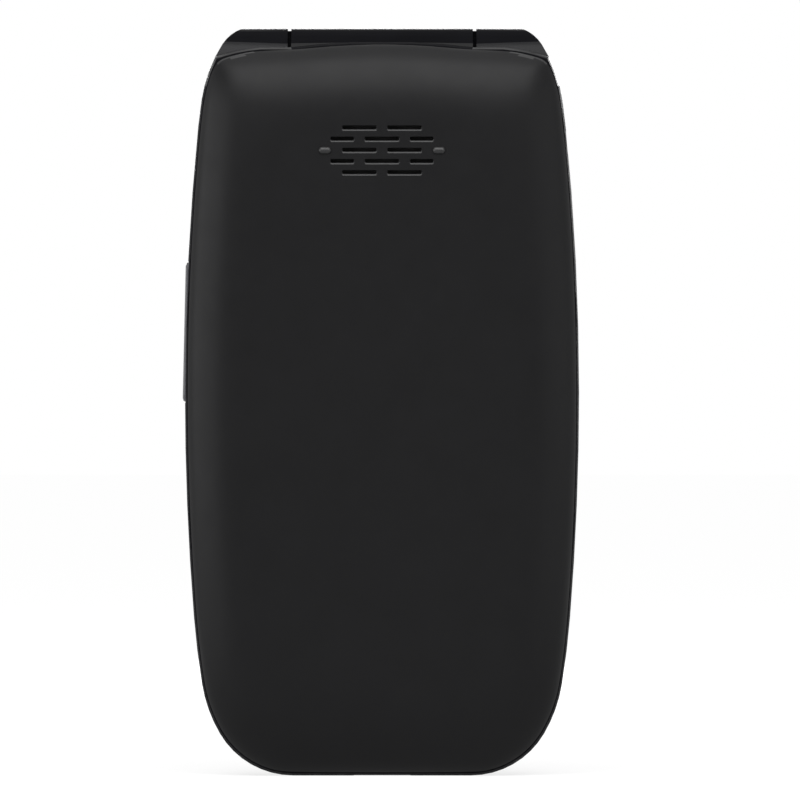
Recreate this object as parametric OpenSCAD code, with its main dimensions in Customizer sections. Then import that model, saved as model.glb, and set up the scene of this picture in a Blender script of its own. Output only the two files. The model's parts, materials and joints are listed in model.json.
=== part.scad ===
// Flip phone, closed and standing on its foot, in millimetres.
// X runs across the phone, Y through its thickness with the battery cover at -Y and the lid at +Y,
// Z along its length with the hinge at the top. The origin is under the middle of the foot.

/* [Body] */
// Width at the widest part
body_w = 54.8; // [53:0.2:60]
// Length from the foot to the top of the hinge barrel
body_len = 104; // [100:0.5:112]
// Gap between the closed halves
halves_gap = 0.4; // [0.3:0.05:0.6]
// Thickness of the housings' side walls
side_wall = 1.5; // [1.3:0.1:2]
// Radius of the soft edge round the two inner faces
edge_r = 0.6; // [0.3:0.1:0.9]
// Largest gap between an arc of the outline and its chords
outline_tol = 0.03; // [0.02:0.01:0.1]

/* [Battery cover] */
// Thickness of the battery cover
cover_wall = 1.2; // [1:0.1:1.6]
// Width of the rolled edge along the sides
back_roll_side = 8.5; // [6:0.5:10]
// Width of the rolled edge at the two ends
back_roll_end = 11; // [8:0.5:13]
// Depth of the rolled edge
back_roll_depth = 5.2; // [4.8:0.1:6]
// Angle round the roll at which the cover ends and the housing begins
cover_seam_angle = 74; // [68:1:78]
// Gap along the cover's seam
seam_gap = 0.15; // [0.1:0.05:0.3]
// Length of each locating tab inside the cover
tab_l = 4.4; // [3:0.1:6]
// Thickness of each locating tab
tab_t = 0.7; // [0.5:0.1:0.9]

/* [Speaker grille] */
// Width of the loudspeaker behind the grille
speaker_w = 16; // [14:0.5:16.5]
// Length of the loudspeaker along the phone
speaker_l = 11; // [10:0.2:12]
// Wall between the loudspeaker and the hinge barrel
speaker_wall = 1.5; // [1.2:0.1:3]
// Distance from one row of slots to the next
grille_row_pitch = 1.55; // [1.4:0.05:1.7]
// Distance from one slot to the next along a row
grille_slot_pitch = 6.25; // [6:0.05:6.5]
// Length of a long slot
grille_slot_l = 4.9; // [4:0.1:5.2]
// Length of the short slots that end the even rows
grille_short_l = 3.4; // [2.6:0.1:3.6]
// Height of a slot
grille_slot_h = 0.75; // [0.6:0.05:0.9]
// Distance of each oval bump from the middle
bump_x = 7.9; // [7.7:0.1:9]
// Length of an oval bump
bump_l = 1.8; // [1.4:0.1:2.2]
// Height of an oval bump along the phone
bump_h = 1; // [0.8:0.1:1.2]
// How far an oval bump stands out of the cover
bump_rise = 0.4; // [0.2:0.05:0.5]

/* [Hinge] */
// Radius of the hinge barrel
barrel_r = 5; // [4.8:0.1:5.4]
// Length of the middle knuckle
knuckle_l = 25.3; // [23:0.1:27]
// Gap between neighbouring knuckles
knuckle_gap = 0.5; // [0.3:0.05:0.7]
// Gap between the barrel and what it turns in
barrel_gap = 0.3; // [0.25:0.05:0.5]
// How far the collars that close the knuckle gaps stand back from the barrel
collar_drop = 0.3; // [0.25:0.05:0.6]
// Radius of the spring cartridge and of the hollow bush
cartridge_r = 2.95; // [2.7:0.05:3.1]
// Wall of the hollow bush
bush_wall = 0.8; // [0.6:0.1:1]
// Radius of the hinge pin
hinge_pin_r = 1.55; // [1.4:0.05:1.8]
// Radial running clearance of pin, bush and cartridge
running_fit = 0.05; // [0.03:0.01:0.08]
// Depth of the sockets in the lid's knuckles
hinge_socket_l = 5.6; // [4.5:0.1:6.5]

/* [Battery] */
// Width of the battery
battery_w = 34; // [32:0.5:36]
// Thickness of the battery
battery_t = 5; // [4.5:0.1:6.5]
// Height of the battery's lower end above the foot
battery_z = 14; // [12:0.5:16]
// Bay between the battery and the loudspeaker, with the connector and the SIM holder
battery_bay = 14.5; // [13:0.5:17]
// Gap round the battery
battery_gap = 0.2; // [0.15:0.05:0.4]

/* [Keys] */
// Web between neighbouring number keys
key_web = 1; // [0.9:0.1:1.5]
// Height of the keypad's lower edge above the foot
rows_foot = 8.9; // [8.4:0.1:10]
// Gap between the top row of number keys and the wing keys
rows_head_gap = 8.5; // [7.5:0.1:9.5]
// Outer radius of the navigation ring
nav_r = 10.2; // [9.6:0.1:10.6]
// Gap between the navigation ring and the wing keys
nav_gap = 1.2; // [1.1:0.1:1.6]
// Radius of the OK key
ok_r = 5.2; // [4.6:0.1:5.4]
// Height of a wing key
wing_h = 10; // [8.5:0.5:10.5]
// Distance of the wing keys' inner ends from the middle
wing_x = 6.8; // [6:0.1:8]
// Distance from the widest part's side to the wing keys
wing_margin = 5; // [4.8:0.1:6]
// Gap between the upper and the lower wing keys
wing_split = 5.6; // [4:0.1:7]
// Gap between a key and its opening
key_gap = 0.15; // [0.1:0.05:0.2]
// Height of a key above the face
key_rise = 0.2; // [0.1:0.05:0.25]
// Travel of a key
key_travel = 0.3; // [0.2:0.05:0.3]
// Reach of the flange that keeps a key in
flange_reach = 0.4; // [0.3:0.05:0.4]

/* [Volume rocker] */
// Length of the rocker
rocker_l = 19.4; // [16:0.2:20]
// Width of the rocker
rocker_w = 3.2; // [2.6:0.1:3.4]
// Wall between the rocker's room and the screw below it
rocker_wall = 2.3; // [1.5:0.1:4]
// How far the rocker stands out of the side
rocker_rise = 0.35; // [0.25:0.05:0.5]

/* [Lid] */
// Width of the rolled edge along the lid's sides
lid_roll_side = 8.5; // [6:0.5:10]
// Width of the rolled edge at the lid's foot
lid_roll_end = 11; // [8:0.5:13]
// Depth of the lid's rolled edge
lid_roll_depth = 4.6; // [4:0.1:5.2]
// Thickness of the lid cover
lid_wall = 1.4; // [1.2:0.1:1.7]
// Distance from the widest part's side to the main display's window
window_margin = 3.9; // [3.4:0.1:5]
// Height of that window's lower edge above the foot
window_foot = 18; // [15:0.5:20]
// Gap between that window and the screw plugs above it
window_gap = 1; // [0.8:0.1:4]
// Width of the outer window
outer_window_w = 32; // [28:0.5:34]
// Length of the outer window
outer_window_l = 36; // [30:0.5:38]
// Gap between the camera's lens and the outer window, and from the lens to the slope above it
lens_gap = 2.6; // [1.5:0.1:4]
// Radius of the camera's lens
lens_r = 3.4; // [2.8:0.1:3.6]
// Height of the earpiece above the foot
earpiece_z = 9; // [8:0.5:11]

/* [Screws] */
// Radius of the screws' threads
screw_r = 0.7; // [0.6:0.05:0.8]
// Distance from the widest part's side to the housing screws
screw_margin = 4.5; // [4.2:0.1:4.8]
// Height of the lowest housing screws above the foot
screw_foot = 20; // [17:0.5:24]
// Wall between the headset socket and the screws below it
screw_wall = 2; // [1.5:0.1:3]
// Gap between the wing keys and the screws above them
screw_head_gap = 1.2; // [1:0.1:2]
// Gap between the wing keys and the screws below them
screw_foot_gap = 3.7; // [3.2:0.1:4.4]

/* [Ports] */
// Radius of the headset socket's bore
jack_r = 1.8; // [1.77:0.01:1.85]
// Depth of the headset socket's bore
jack_depth = 12; // [11:0.5:13]
// Wall between the headset socket and the hinge barrel
jack_wall = 3; // [2.5:0.1:4]
// Width of the charging port's shell
port_w = 7.5; // [7.4:0.1:9]
// Thickness of the charging port's shell
port_t = 2.8; // [2.6:0.1:3]
// Depth of the charging port
port_l = 5.4; // [5:0.1:5.6]

/* [Hidden] */
$fn = 48;
cut = 0.5;
far = body_w;

shell_black = "#232325";
key_black = "#2e2e31";
trim_black = "#1b1b1c";
metal_grey = "#a7a9ab";
plastic_white = "#cfd2d4";
board_green = "#1f4a33";
glass_black = "#0c0c0e";

// Thicknesses stacked through the base, from the cover inwards to the face with the keys
floor_t = 0.8;
board_t = 0.8;
dome_t = 0.25;
mat_t = 0.6;
flange_t = 0.35;
face_t = 1;
layer_gap = 0.1;
press_room = key_travel + 0.05;
flange_slack = 0.05;
base_t = cover_wall + battery_gap + battery_t + layer_gap + floor_t + layer_gap + board_t + dome_t + mat_t
    + press_room + flange_t + flange_slack + face_t;

// Thicknesses stacked through the lid, from its inner face outwards
window_t = 0.9;
window_sink = 0.1;
ledge_t = 0.5;
display_t = 2.1;
lid_board_t = 0.6;
outer_display_t = 1.6;
foam_gap = 0.4;
lid_t = window_sink + window_t + ledge_t + layer_gap / 2 + display_t + layer_gap + lid_board_t
    + layer_gap / 2 + outer_display_t + foam_gap + lid_wall;

// Levels along Y
cover_room = 0.6;
deck_step = 1;
split_depth = 2.2;
lid_split_depth = 2.4;
y_back = -(base_t + halves_gap + lid_t) / 2;
y_face = y_back + base_t;
y_lid = y_face + halves_gap;
y_front = y_lid + lid_t;
y_face_in = y_face - face_t;
y_key_foot = y_face_in - flange_slack - flange_t;
y_mat = y_key_foot - press_room;
y_dome = y_mat - mat_t;
y_board = y_dome - dome_t;
y_board_back = y_board - board_t;
y_floor = y_board_back - layer_gap;
y_well = y_floor - floor_t;
y_battery = y_well - layer_gap;
y_cover_in = y_back + cover_wall;
y_deck = y_cover_in + cover_room;
y_tongue = y_deck + deck_step;
y_seam = y_back + back_roll_depth * (1 - cos(cover_seam_angle));
y_base_edge = y_seam + seam_gap;
y_split = y_face - split_depth;
y_side = (y_seam + y_split) / 2;
y_window = y_lid + window_sink;
y_ledge = y_window + window_t;
y_frame_in = y_ledge + ledge_t;
y_display = y_frame_in + layer_gap / 2;
y_lid_board = y_display + display_t + layer_gap;
y_lid_board_front = y_lid_board + lid_board_t;
y_outer_display = y_lid_board_front + layer_gap / 2;
y_lid_in = y_front - lid_wall;
y_lid_split = y_lid + lid_split_depth;

// Hinge line, and the slope that runs down from the lid's face to its outer knuckles
slope_l = 10.2;
slope_end_drop = 0.8;
nose_drop = 1.4;
hinge_y = (y_face + y_lid) / 2;
hinge_z = body_len - barrel_r;
barrel_foot = hinge_z - barrel_r;
knuckle_end = knuckle_l / 2;
lid_knuckle_start = knuckle_end + knuckle_gap;
swing_r = barrel_r + barrel_gap;
slope_end = hinge_z - slope_end_drop;
slope_start = slope_end - slope_l;
slope_depth = y_front - hinge_y - barrel_r - layer_gap;
nose_z = hinge_z - nose_drop;

// Heights above the foot, worked down from the barrel and up from the foot
boss_r = 1.5;
jack_h = 6;
camera_z = slope_start - lens_gap - lens_r;
outer_window_z = camera_z - lens_r - lens_gap - outer_window_l / 2;
grille_z = barrel_foot - speaker_wall - speaker_l / 2;
speaker_foot = grille_z - speaker_l / 2;
battery_top = speaker_foot - battery_bay;
jack_z = barrel_foot - jack_wall - jack_h / 2;
top_screw_z = jack_z - jack_h / 2 - screw_wall - boss_r;
wings_head = top_screw_z - boss_r - screw_head_gap;
nav_z = wings_head - wing_h - wing_split / 2;
wings_foot = nav_z - wing_split / 2 - wing_h;
mid_screw_z = wings_foot - screw_foot_gap - boss_r;
rows_head = wings_foot - rows_head_gap;

// Outline of the phone: radius and sweep of each arc from the widest point up to the barrel and down to
// the foot, for a half width of natural_half_w, then stretched to the body's width and length
natural_half_w = 27.4;
upper_arcs = [[373, 5.7], [75, 2.9], [20.6, 23.2], [5.7, 36.1]];
lower_arcs = [[389, 4.6], [119, 4.5], [19.9, 21.4], [11.8, 59.5]];

function arc_steps(r, sweep) = ceil(sweep / (2 * acos(1 - outline_tol / r)));
function on_circle(r, angle) = r * [cos(angle), sin(angle)];
function arc_run(arcs, from, heading = 0, i = 0) =
    i == len(arcs) ? [] :
    let (
        r = arcs[i][0],
        sweep = arcs[i][1],
        steps = arc_steps(r, sweep),
        middle = from - on_circle(r, heading),
        run = [for (k = [1:steps]) middle + on_circle(r, heading + sweep * k / steps)]
    )
    concat(run, arc_run(arcs, run[steps - 1], heading + sweep, i + 1));
function flipped(half) = [for (i = [len(half) - 1:-1:0]) [-half[i][0], half[i][1]]];
function mirrored(half) = concat(half, flipped(half));

upper_run = arc_run(upper_arcs, [natural_half_w, 0]);
lower_run = arc_run(lower_arcs, [natural_half_w, 0]);
waist_z = lower_run[len(lower_run) - 1][1];
stretch_x = body_w / 2 / natural_half_w;
stretch_z = body_len / (waist_z + upper_run[len(upper_run) - 1][1]);
natural_side = concat(
    [for (i = [len(lower_run) - 1:-1:0]) [lower_run[i][0], -lower_run[i][1]]],
    [[natural_half_w, 0]],
    upper_run
);
side = [for (p = natural_side) [p[0] * stretch_x, (p[1] + waist_z) * stretch_z]];
lid_outline = mirrored(side);
function side_x(z) = lookup(z, [for (p = side) [p[1], p[0]]]);

// The base stops under the outer knuckles: its corners fall away in a soft curve, and its top edge
// rises a little between the knuckle gaps
corner_drop = 4.1;
corner_w = 6.25;
corner_bend = [2.45, 1];
top_drop = 2.75;
crown_rise = 0.8;
corner_steps = 4;
crown_steps = 3;
corner_z = body_len - corner_drop;
base_top = body_len - top_drop;
corner_from = [side_x(corner_z), corner_z];
corner_by = corner_from + [-corner_bend[0], corner_bend[1]];
corner_to = [corner_from[0] - corner_w, base_top];
function curve(a, b, c, t) = (1 - t) * (1 - t) * a + 2 * t * (1 - t) * b + t * t * c;
base_side = concat(
    [for (p = side) if (p[1] < corner_z - 0.2) p],
    [for (k = [0:corner_steps]) curve(corner_from, corner_by, corner_to, k / corner_steps)],
    [for (k = [0:crown_steps - 1])
        let (share = 1 - k / crown_steps) [knuckle_end * share, base_top + crown_rise * (1 - share * share)]]
);
base_outline = mirrored(base_side);

// A path with its sides moved in by one distance and its ends by another
function inset(path, top, sides, ends) =
    [for (p = path) [p[0] * (1 - sides / (body_w / 2)), top / 2 + (p[1] - top / 2) * (1 - ends / (top / 2))]];
function ring(path, top, sides, ends, y) = [for (p = inset(path, top, sides, ends)) [p[0], y, p[1]]];
function base_ring(sides, ends, y) = ring(base_outline, base_top, sides, ends, y);
function lid_ring(sides, ends, y) = ring(lid_outline, body_len, sides, ends, y);
function steps_between(a, b, n) = [for (k = [0:n]) a + (b - a) * k / n];

// Rings of the rolled back and of the rolled lid, at an angle round the roll and a depth under the skin
function back_ring(angle, under) = base_ring(
    back_roll_side * (1 - sin(angle)) + under * sin(angle),
    back_roll_end * (1 - sin(angle)) + under * sin(angle),
    y_back + back_roll_depth * (1 - cos(angle)) + under * cos(angle)
);
function front_ring(angle, under) = lid_ring(
    lid_roll_side * (1 - sin(angle)) + under * sin(angle),
    lid_roll_end * (1 - sin(angle)) + under * sin(angle),
    y_front - lid_roll_depth * (1 - cos(angle)) - under * cos(angle)
);

// How far in from the outline a piece stays that stands up inside the rolled back to a level of Y
deck_clearance = 0.25;
function under_roll(roll, level) =
    let (angle = acos((y_back + back_roll_depth - level) / (back_roll_depth - cover_wall)))
    roll * (1 - sin(angle)) + cover_wall * sin(angle) + deck_clearance;

// Closed surface through rings of equal length: capped at both ends, or joined from last to first
module skin(rings, looped = false) {
    n = len(rings[0]);
    m = len(rings);
    bands = looped ? m - 1 : m - 2;
    walls = [for (i = [0:bands]) for (j = [0:n - 1])
        let (
            a = i * n + j,
            b = i * n + (j + 1) % n,
            c = (i + 1) % m * n + (j + 1) % n,
            d = (i + 1) % m * n + j
        )
        each [[a, b, c], [a, c, d]]];
    caps = looped ? [] : [[for (j = [n - 1:-1:0]) j], [for (j = [0:n - 1]) (m - 1) * n + j]];
    polyhedron([for (r = rings) each r], concat(caps, walls));
}

// Straight plate between two levels of Y with an outline in X and Z
module plate(path, y0, y1) {
    translate([0, y1, 0]) rotate([90, 0, 0]) linear_extrude(y1 - y0) polygon(path);
}
module block(low, high) {
    translate(low) cube(high - low);
}
module x_rod(r, x0, x1, y, z) {
    translate([x0, y, z]) rotate([0, 90, 0]) cylinder(r = r, h = x1 - x0);
}
module y_rod(r, x, z, y0, y1) {
    translate([x, y1, z]) rotate([90, 0, 0]) cylinder(r = r, h = y1 - y0);
}
module both_sides() {
    children();
    mirror([1, 0, 0]) children();
}
corner_facets = 4;
function rounded(w, h, r, x = 0, z = 0) = [
    for (q = [0:3]) for (k = [0:corner_facets])
        let (
            angle = q * 90 + k * 90 / corner_facets,
            sx = q == 0 || q == 3 ? 1 : -1,
            sz = q < 2 ? 1 : -1
        )
        [x + sx * (w / 2 - r), z + sz * (h / 2 - r)] + on_circle(r, angle)
];

// Barrel of the hinge, and the room that the outer knuckles turn in
module barrel(r, x0, x1) {
    x_rod(r, x0, x1, hinge_y, hinge_z);
}
module knuckle_room() {
    both_sides() barrel(swing_r, knuckle_end, far);
}

// Collars on the middle knuckle that all but close the gaps beside it, so that nothing shows through them
collar_gap = 0.1;
module knuckle_collars() {
    difference() {
        both_sides() barrel(barrel_r - collar_drop, knuckle_end - cut, lid_knuckle_start - collar_gap);
        barrel(cartridge_r + running_fit, -far, far);
    }
}

// Screws that hold the keypad housing to the rear housing, driven in under the battery cover
screw_x = body_w / 2 - screw_margin;
screw_zs = [screw_foot, mid_screw_z, top_screw_z];
screw_head_r = 1.5;
screw_head_t = 0.8;
screw_end = 0.6;
y_screw_seat = y_base_edge + screw_head_t;
module at_housing_screws() {
    for (z = screw_zs) both_sides() translate([screw_x, 0, z]) children();
}

// Rear housing: a rolled wall round a deck that carries the battery well and the pockets
lining = 0.2;
pad_gap = 0.4;
wall_overlap = 0.1;
module rear_housing() {
    seam_top = acos(cos(cover_seam_angle) - seam_gap / back_roll_depth);
    lap = side_wall - wall_overlap;
    color(shell_black) union() {
        difference() {
            union() {
                skin([
                    back_ring(seam_top, 0),
                    back_ring((seam_top + 90) / 2, 0),
                    back_ring(90, 0),
                    base_ring(0, 0, y_split),
                    base_ring(side_wall, side_wall, y_split),
                    base_ring(side_wall, side_wall, y_base_edge)
                ], looped = true);
                plate(inset(base_outline, base_top, lap, lap), y_base_edge + lining, y_floor);
                for (level = [y_tongue, y_deck])
                    plate(
                        inset(
                            base_outline,
                            base_top,
                            under_roll(back_roll_side, level),
                            under_roll(back_roll_end, level)
                        ),
                        level,
                        y_floor
                    );
                barrel(barrel_r, -knuckle_end, knuckle_end);
            }
            knuckle_room();
            battery_well();
            speaker_pocket();
            cartridge_bore();
            sim_pocket();
            can_bay();
            jack_room();
            port_room();
            motor_room();
            antenna_room();
            rocker_room();
            tab_notches();
            at_housing_screws() {
                y_rod(screw_head_r + lining, 0, 0, y_back, y_screw_seat);
                y_rod(screw_r + lining, 0, 0, y_back, y_face);
            }
            flex_slot();
        }
        knuckle_collars();
    }
}

// Battery well, with a scoop for a fingertip at the battery's foot
scoop_r = 6.5;
scoop_depth = 2.2;
module battery_well() {
    half_w = battery_w / 2 + battery_gap;
    block([-half_w, y_back, battery_z - battery_gap], [half_w, y_well, battery_top + battery_gap]);
    block(
        [-connector_w / 2 - pad_gap, y_back, battery_top],
        [connector_w / 2 + pad_gap, y_floor + cut, battery_top + connector_l + lining]
    );
    y_rod(scoop_r, 0, battery_z, y_back, y_deck + scoop_depth);
}
contact_w = 1;
contact_pitch = 3.6;
contact_l = 0.6;
contact_t = 1;
module battery() {
    cap_l = 1;
    cap_inset = 0.4;
    half_w = battery_w / 2;
    y0 = y_battery - battery_t;
    color("#3a3d42") difference() {
        union() {
            block([-half_w, y0, battery_z + cap_l], [half_w, y_battery, battery_top - cap_l]);
            block(
                [-half_w + cap_l, y0 + cap_inset, battery_z],
                [half_w - cap_l, y_battery - cap_inset, battery_top]
            );
        }
        for (i = [-1:1]) block(
            [i * contact_pitch - contact_w, y_well - contact_l - contact_t, battery_top - wall_overlap],
            [i * contact_pitch + contact_w, y_well - contact_l, battery_top + cut]
        );
    }
}
connector_w = 13;
connector_l = 2.4;
module battery_connector() {
    base_gap = 0.4;
    contact_reach = 1.2;
    color(metal_grey) {
        block(
            [-connector_w / 2, y_well - contact_reach - base_gap, battery_top + base_gap],
            [connector_w / 2, y_floor, battery_top + connector_l]
        );
        for (i = [-1:1]) block(
            [i * contact_pitch - contact_w / 2, y_well - contact_reach, battery_top],
            [i * contact_pitch + contact_w / 2, y_well - contact_reach + contact_t, battery_top + contact_l]
        );
    }
}

// Loudspeaker in its pocket, behind a perforated wall and a mesh
speaker_t = 3.8;
mesh_t = 0.25;
mesh_margin = 2;
sound_hole_r = 0.7;
sound_pitch = [2.6, 1.8];
y_speaker = y_deck + 0.8;
module speaker_pocket() {
    block(
        [-speaker_w / 2 - layer_gap, y_speaker - layer_gap, speaker_foot - layer_gap],
        [speaker_w / 2 + layer_gap, y_floor + cut, speaker_foot + speaker_l + layer_gap]
    );
    for (row = [-2:2]) for (col = [-2:2])
        y_rod(sound_hole_r, col * sound_pitch[0], grille_z + row * sound_pitch[1], y_back, y_speaker);
}
module loudspeaker() {
    rim = 1;
    cone_depth = 0.5;
    cone_r = 3;
    color("#4a4a4d") difference() {
        block(
            [-speaker_w / 2, y_speaker, speaker_foot],
            [speaker_w / 2, y_speaker + speaker_t, speaker_foot + speaker_l]
        );
        plate(
            rounded(speaker_w - 2 * rim, speaker_l - 2 * rim, cone_r, 0, grille_z),
            y_speaker - cut,
            y_speaker + cone_depth
        );
    }
}
mesh_w = speaker_w + 2 * mesh_margin;
mesh_h = 6 * grille_row_pitch;
module speaker_mesh() {
    color("#161617") plate(rounded(mesh_w, mesh_h, 1.5, 0, grille_z), y_deck - mesh_t, y_deck);
}

// SIM holder on the deck and the two shield cans behind it, between the connector and the loudspeaker
sim_w = 15;
sim_x = -1;
sim_sheet = 0.3;
sim_t = 1.4;
sim_z = battery_top + connector_l + 0.8;
sim_head = speaker_foot - 1.9;
can_w = 14.8;
can_x = 0.8;
can_t = 1.6;
can_sheet = 0.2;
can_z = battery_top + connector_l + 2.2;
can_head = speaker_foot - 1.3;
module sim_pocket() {
    block([sim_x - sim_w, y_back, sim_z], [sim_x, y_deck + cover_room + sim_t, sim_head]);
}
module sim_holder() {
    y0 = y_deck + cover_room;
    mouth = 0.9;
    color(metal_grey) difference() {
        block(
            [sim_x - sim_w + layer_gap, y0, sim_z + layer_gap],
            [sim_x - layer_gap, y0 + sim_t, sim_head - layer_gap]
        );
        block(
            [sim_x - sim_w + mouth, y0 + sim_sheet, sim_z - cut],
            [sim_x - mouth, y0 + sim_t - sim_sheet, sim_head - mouth]
        );
        plate(
            rounded(sim_w / 2, sim_head - sim_z + 2 * cut, 1, sim_x - sim_w / 2, sim_z),
            y0 - cut,
            y0 + sim_sheet + cut
        );
    }
}
module can_bay() {
    block(
        [-can_x - can_w - pad_gap, y_board_back - can_t - pad_gap, can_z - pad_gap],
        [can_x + can_w + pad_gap, y_floor + cut, can_head + pad_gap]
    );
}
module shield_cans() {
    color(metal_grey) both_sides() difference() {
        block([can_x, y_board_back - can_t, can_z], [can_x + can_w, y_board_back, can_head]);
        block(
            [can_x + can_sheet, y_board_back - can_t + can_sheet, can_z + can_sheet],
            [can_x + can_w - can_sheet, y_board_back + cut, can_head - can_sheet]
        );
    }
}

// Headset socket in the +X side
jack_body = 4.6;
jack_rim = 1;
jack_sink = 2.6;
jack_nose = 1;
jack_x1 = body_w / 2 - jack_sink;
jack_x0 = jack_x1 - jack_depth - jack_nose;
module jack_room() {
    block(
        [jack_x0 - pad_gap, y_side - jack_body / 2 - layer_gap, jack_z - jack_h / 2 - layer_gap],
        [jack_x1 + pad_gap, y_face, jack_z + jack_h / 2 + layer_gap]
    );
    x_rod(jack_r + lining, jack_x0, far, y_side, jack_z);
}
module headset_jack() {
    color("#2b2b2d") difference() {
        union() {
            block(
                [jack_x0, y_side - jack_body / 2, jack_z - jack_h / 2],
                [jack_x1 - jack_nose, y_face_in - screw_end, jack_z + jack_h / 2]
            );
            x_rod(jack_body / 2 - lining, jack_x1 - jack_nose - lining, jack_x1, y_side, jack_z);
        }
        x_rod(jack_r, jack_x1 - jack_depth, far, y_side, jack_z);
    }
}

// Charging port in the foot
port_sink = 0.4;
port_sheet = 0.3;
y_port = (y_base_edge + y_split) / 2;
module port_room() {
    block(
        [-port_w / 2 - lining, y_port - port_t / 2 - layer_gap, -cut],
        [port_w / 2 + lining, y_port + port_t / 2 + layer_gap, port_sink + port_l + lining]
    );
}
module usb_port() {
    tongue_t = 0.6;
    tongue_l = 3.6;
    color(metal_grey) {
        difference() {
            block(
                [-port_w / 2, y_port - port_t / 2, port_sink],
                [port_w / 2, y_port + port_t / 2, port_sink + port_l]
            );
            block(
                [-port_w / 2 + port_sheet, y_port - port_t / 2 + port_sheet, 0],
                [port_w / 2 - port_sheet, y_port + port_t / 2 - port_sheet, port_l]
            );
        }
        block(
            [-port_w / 4, y_port - tongue_t / 2, port_l - tongue_l],
            [port_w / 4, y_port + tongue_t / 2, port_l + layer_gap]
        );
    }
}

// Vibration motor beside the loudspeaker
motor_r = 2;
motor_l = 7.5;
motor_margin = 7.4;
weight_l = 1.7;
weight_gap = 0.3;
motor_x = -body_w / 2 + motor_margin;
y_motor = y_floor - 3;
module motor_room() {
    room = motor_r + layer_gap;
    block(
        [motor_x - weight_gap - weight_l - lining, y_motor - room, jack_z - room],
        [motor_x + motor_l + lining, y_floor + cut, jack_z + room]
    );
}
module vibration_motor() {
    shaft_r = 0.4;
    weight_r = motor_r - lining;
    weight_x = motor_x - weight_gap;
    color(metal_grey) {
        x_rod(motor_r, motor_x, motor_x + motor_l, y_motor, jack_z);
        difference() {
            x_rod(weight_r, weight_x - weight_l, weight_x, y_motor, jack_z);
            block(
                [weight_x - weight_l - cut, y_motor - motor_r, jack_z - motor_r],
                [weight_x + cut, y_motor, jack_z + motor_r]
            );
        }
        x_rod(shaft_r, weight_x - lining, motor_x + layer_gap, y_motor, jack_z);
    }
}

// Antenna carriers in the foot's two corners, and the microphone between one of them and the port
antenna_x = port_w / 2 + 3;
antenna_l = 9.8;
antenna_h = 1.9;
antenna_t = 2.6;
antenna_z = 3.3;
mic_x = antenna_x + 1.8;
mic_w = 3.8;
mic_l = 3;
mic_t = 1.8;
mic_z = antenna_z + antenna_h + 1.8;
module antenna_room() {
    both_sides() block(
        [antenna_x - pad_gap, y_floor - antenna_t - lining, antenna_z - lining],
        [antenna_x + antenna_l + pad_gap, y_floor + cut, mic_z + mic_l + pad_gap]
    );
}
module antenna() {
    color("#c9a24a") both_sides() block(
        [antenna_x, y_floor - antenna_t, antenna_z],
        [antenna_x + antenna_l, y_floor - layer_gap, antenna_z + antenna_h]
    );
}
module microphone() {
    color(metal_grey)
        block([mic_x, y_board_back - mic_t, mic_z], [mic_x + mic_w, y_board_back, mic_z + mic_l]);
}

// Volume rocker in the -X side, on a narrow board with two switches
rocker_gap = 0.15;
rocker_in = 2.2;
switch_board_t = 1;
switch_gap = 0.5;
switch_room = 3;
rocker_z = mid_screw_z + boss_r + rocker_wall + rocker_gap + rocker_l / 2;
rocker_x = side_x(rocker_z);
switch_x = -rocker_x + rocker_in + switch_gap;
module rocker_room() {
    half_w = rocker_w / 2 + rocker_gap;
    half_l = rocker_l / 2 + rocker_gap;
    room_x = switch_x + switch_board_t + switch_room;
    block([-far, y_side - half_w, rocker_z - half_l], [room_x, y_side + half_w, rocker_z + half_l]);
    block(
        [-rocker_x + side_wall, y_side - half_w - lining, rocker_z - half_l],
        [room_x, y_floor + cut, rocker_z + half_l]
    );
}
module rocker_switch() {
    board_w = 3.2;
    board_l = rocker_l - 3.4;
    button = 0.8;
    color(plastic_white) {
        block(
            [switch_x, y_side - board_w / 2, rocker_z - board_l / 2],
            [switch_x + switch_board_t, y_side + board_w / 2, rocker_z + board_l / 2]
        );
        for (s = [-1, 1])
            let (z = rocker_z + s * rocker_l * 0.3)
            block([switch_x - lining, y_side - button, z - button], [switch_x, y_side + button, z + button]);
    }
}
// Its face follows the slant of the side
module volume_rocker() {
    x0 = -rocker_x - rocker_rise;
    slant = (side_x(rocker_z - rocker_l / 2) - side_x(rocker_z + rocker_l / 2)) / rocker_l;
    crown = 0.5;
    end_r = 1;
    foot_x = x0 + crown + abs(slant) * rocker_l;
    function ring(side, depth, lean) =
        [for (p = rounded(rocker_w - 2 * side, rocker_l - 2 * side, end_r - side))
            [depth + lean * p[1], y_side + p[0], rocker_z + p[1]]];
    color("#5a5a5e") union() {
        block(
            [foot_x, y_side - rocker_w / 2, rocker_z - rocker_l / 2],
            [-rocker_x + rocker_in, y_side + rocker_w / 2, rocker_z + rocker_l / 2]
        );
        skin(concat(
            [ring(0, foot_x + 0.05, 0)],
            [for (s = [[0, crown * 0.8], [crown * 0.24, crown * 0.24], [crown, 0]]) ring(s[0], x0 + s[1], slant)]
        ));
    }
}

module housing_screws() {
    color(metal_grey) at_housing_screws() union() {
        y_rod(screw_head_r, 0, 0, y_screw_seat - screw_head_t, y_screw_seat);
        y_rod(screw_r, 0, 0, y_screw_seat - cut, y_face_in - screw_end);
    }
}

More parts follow.
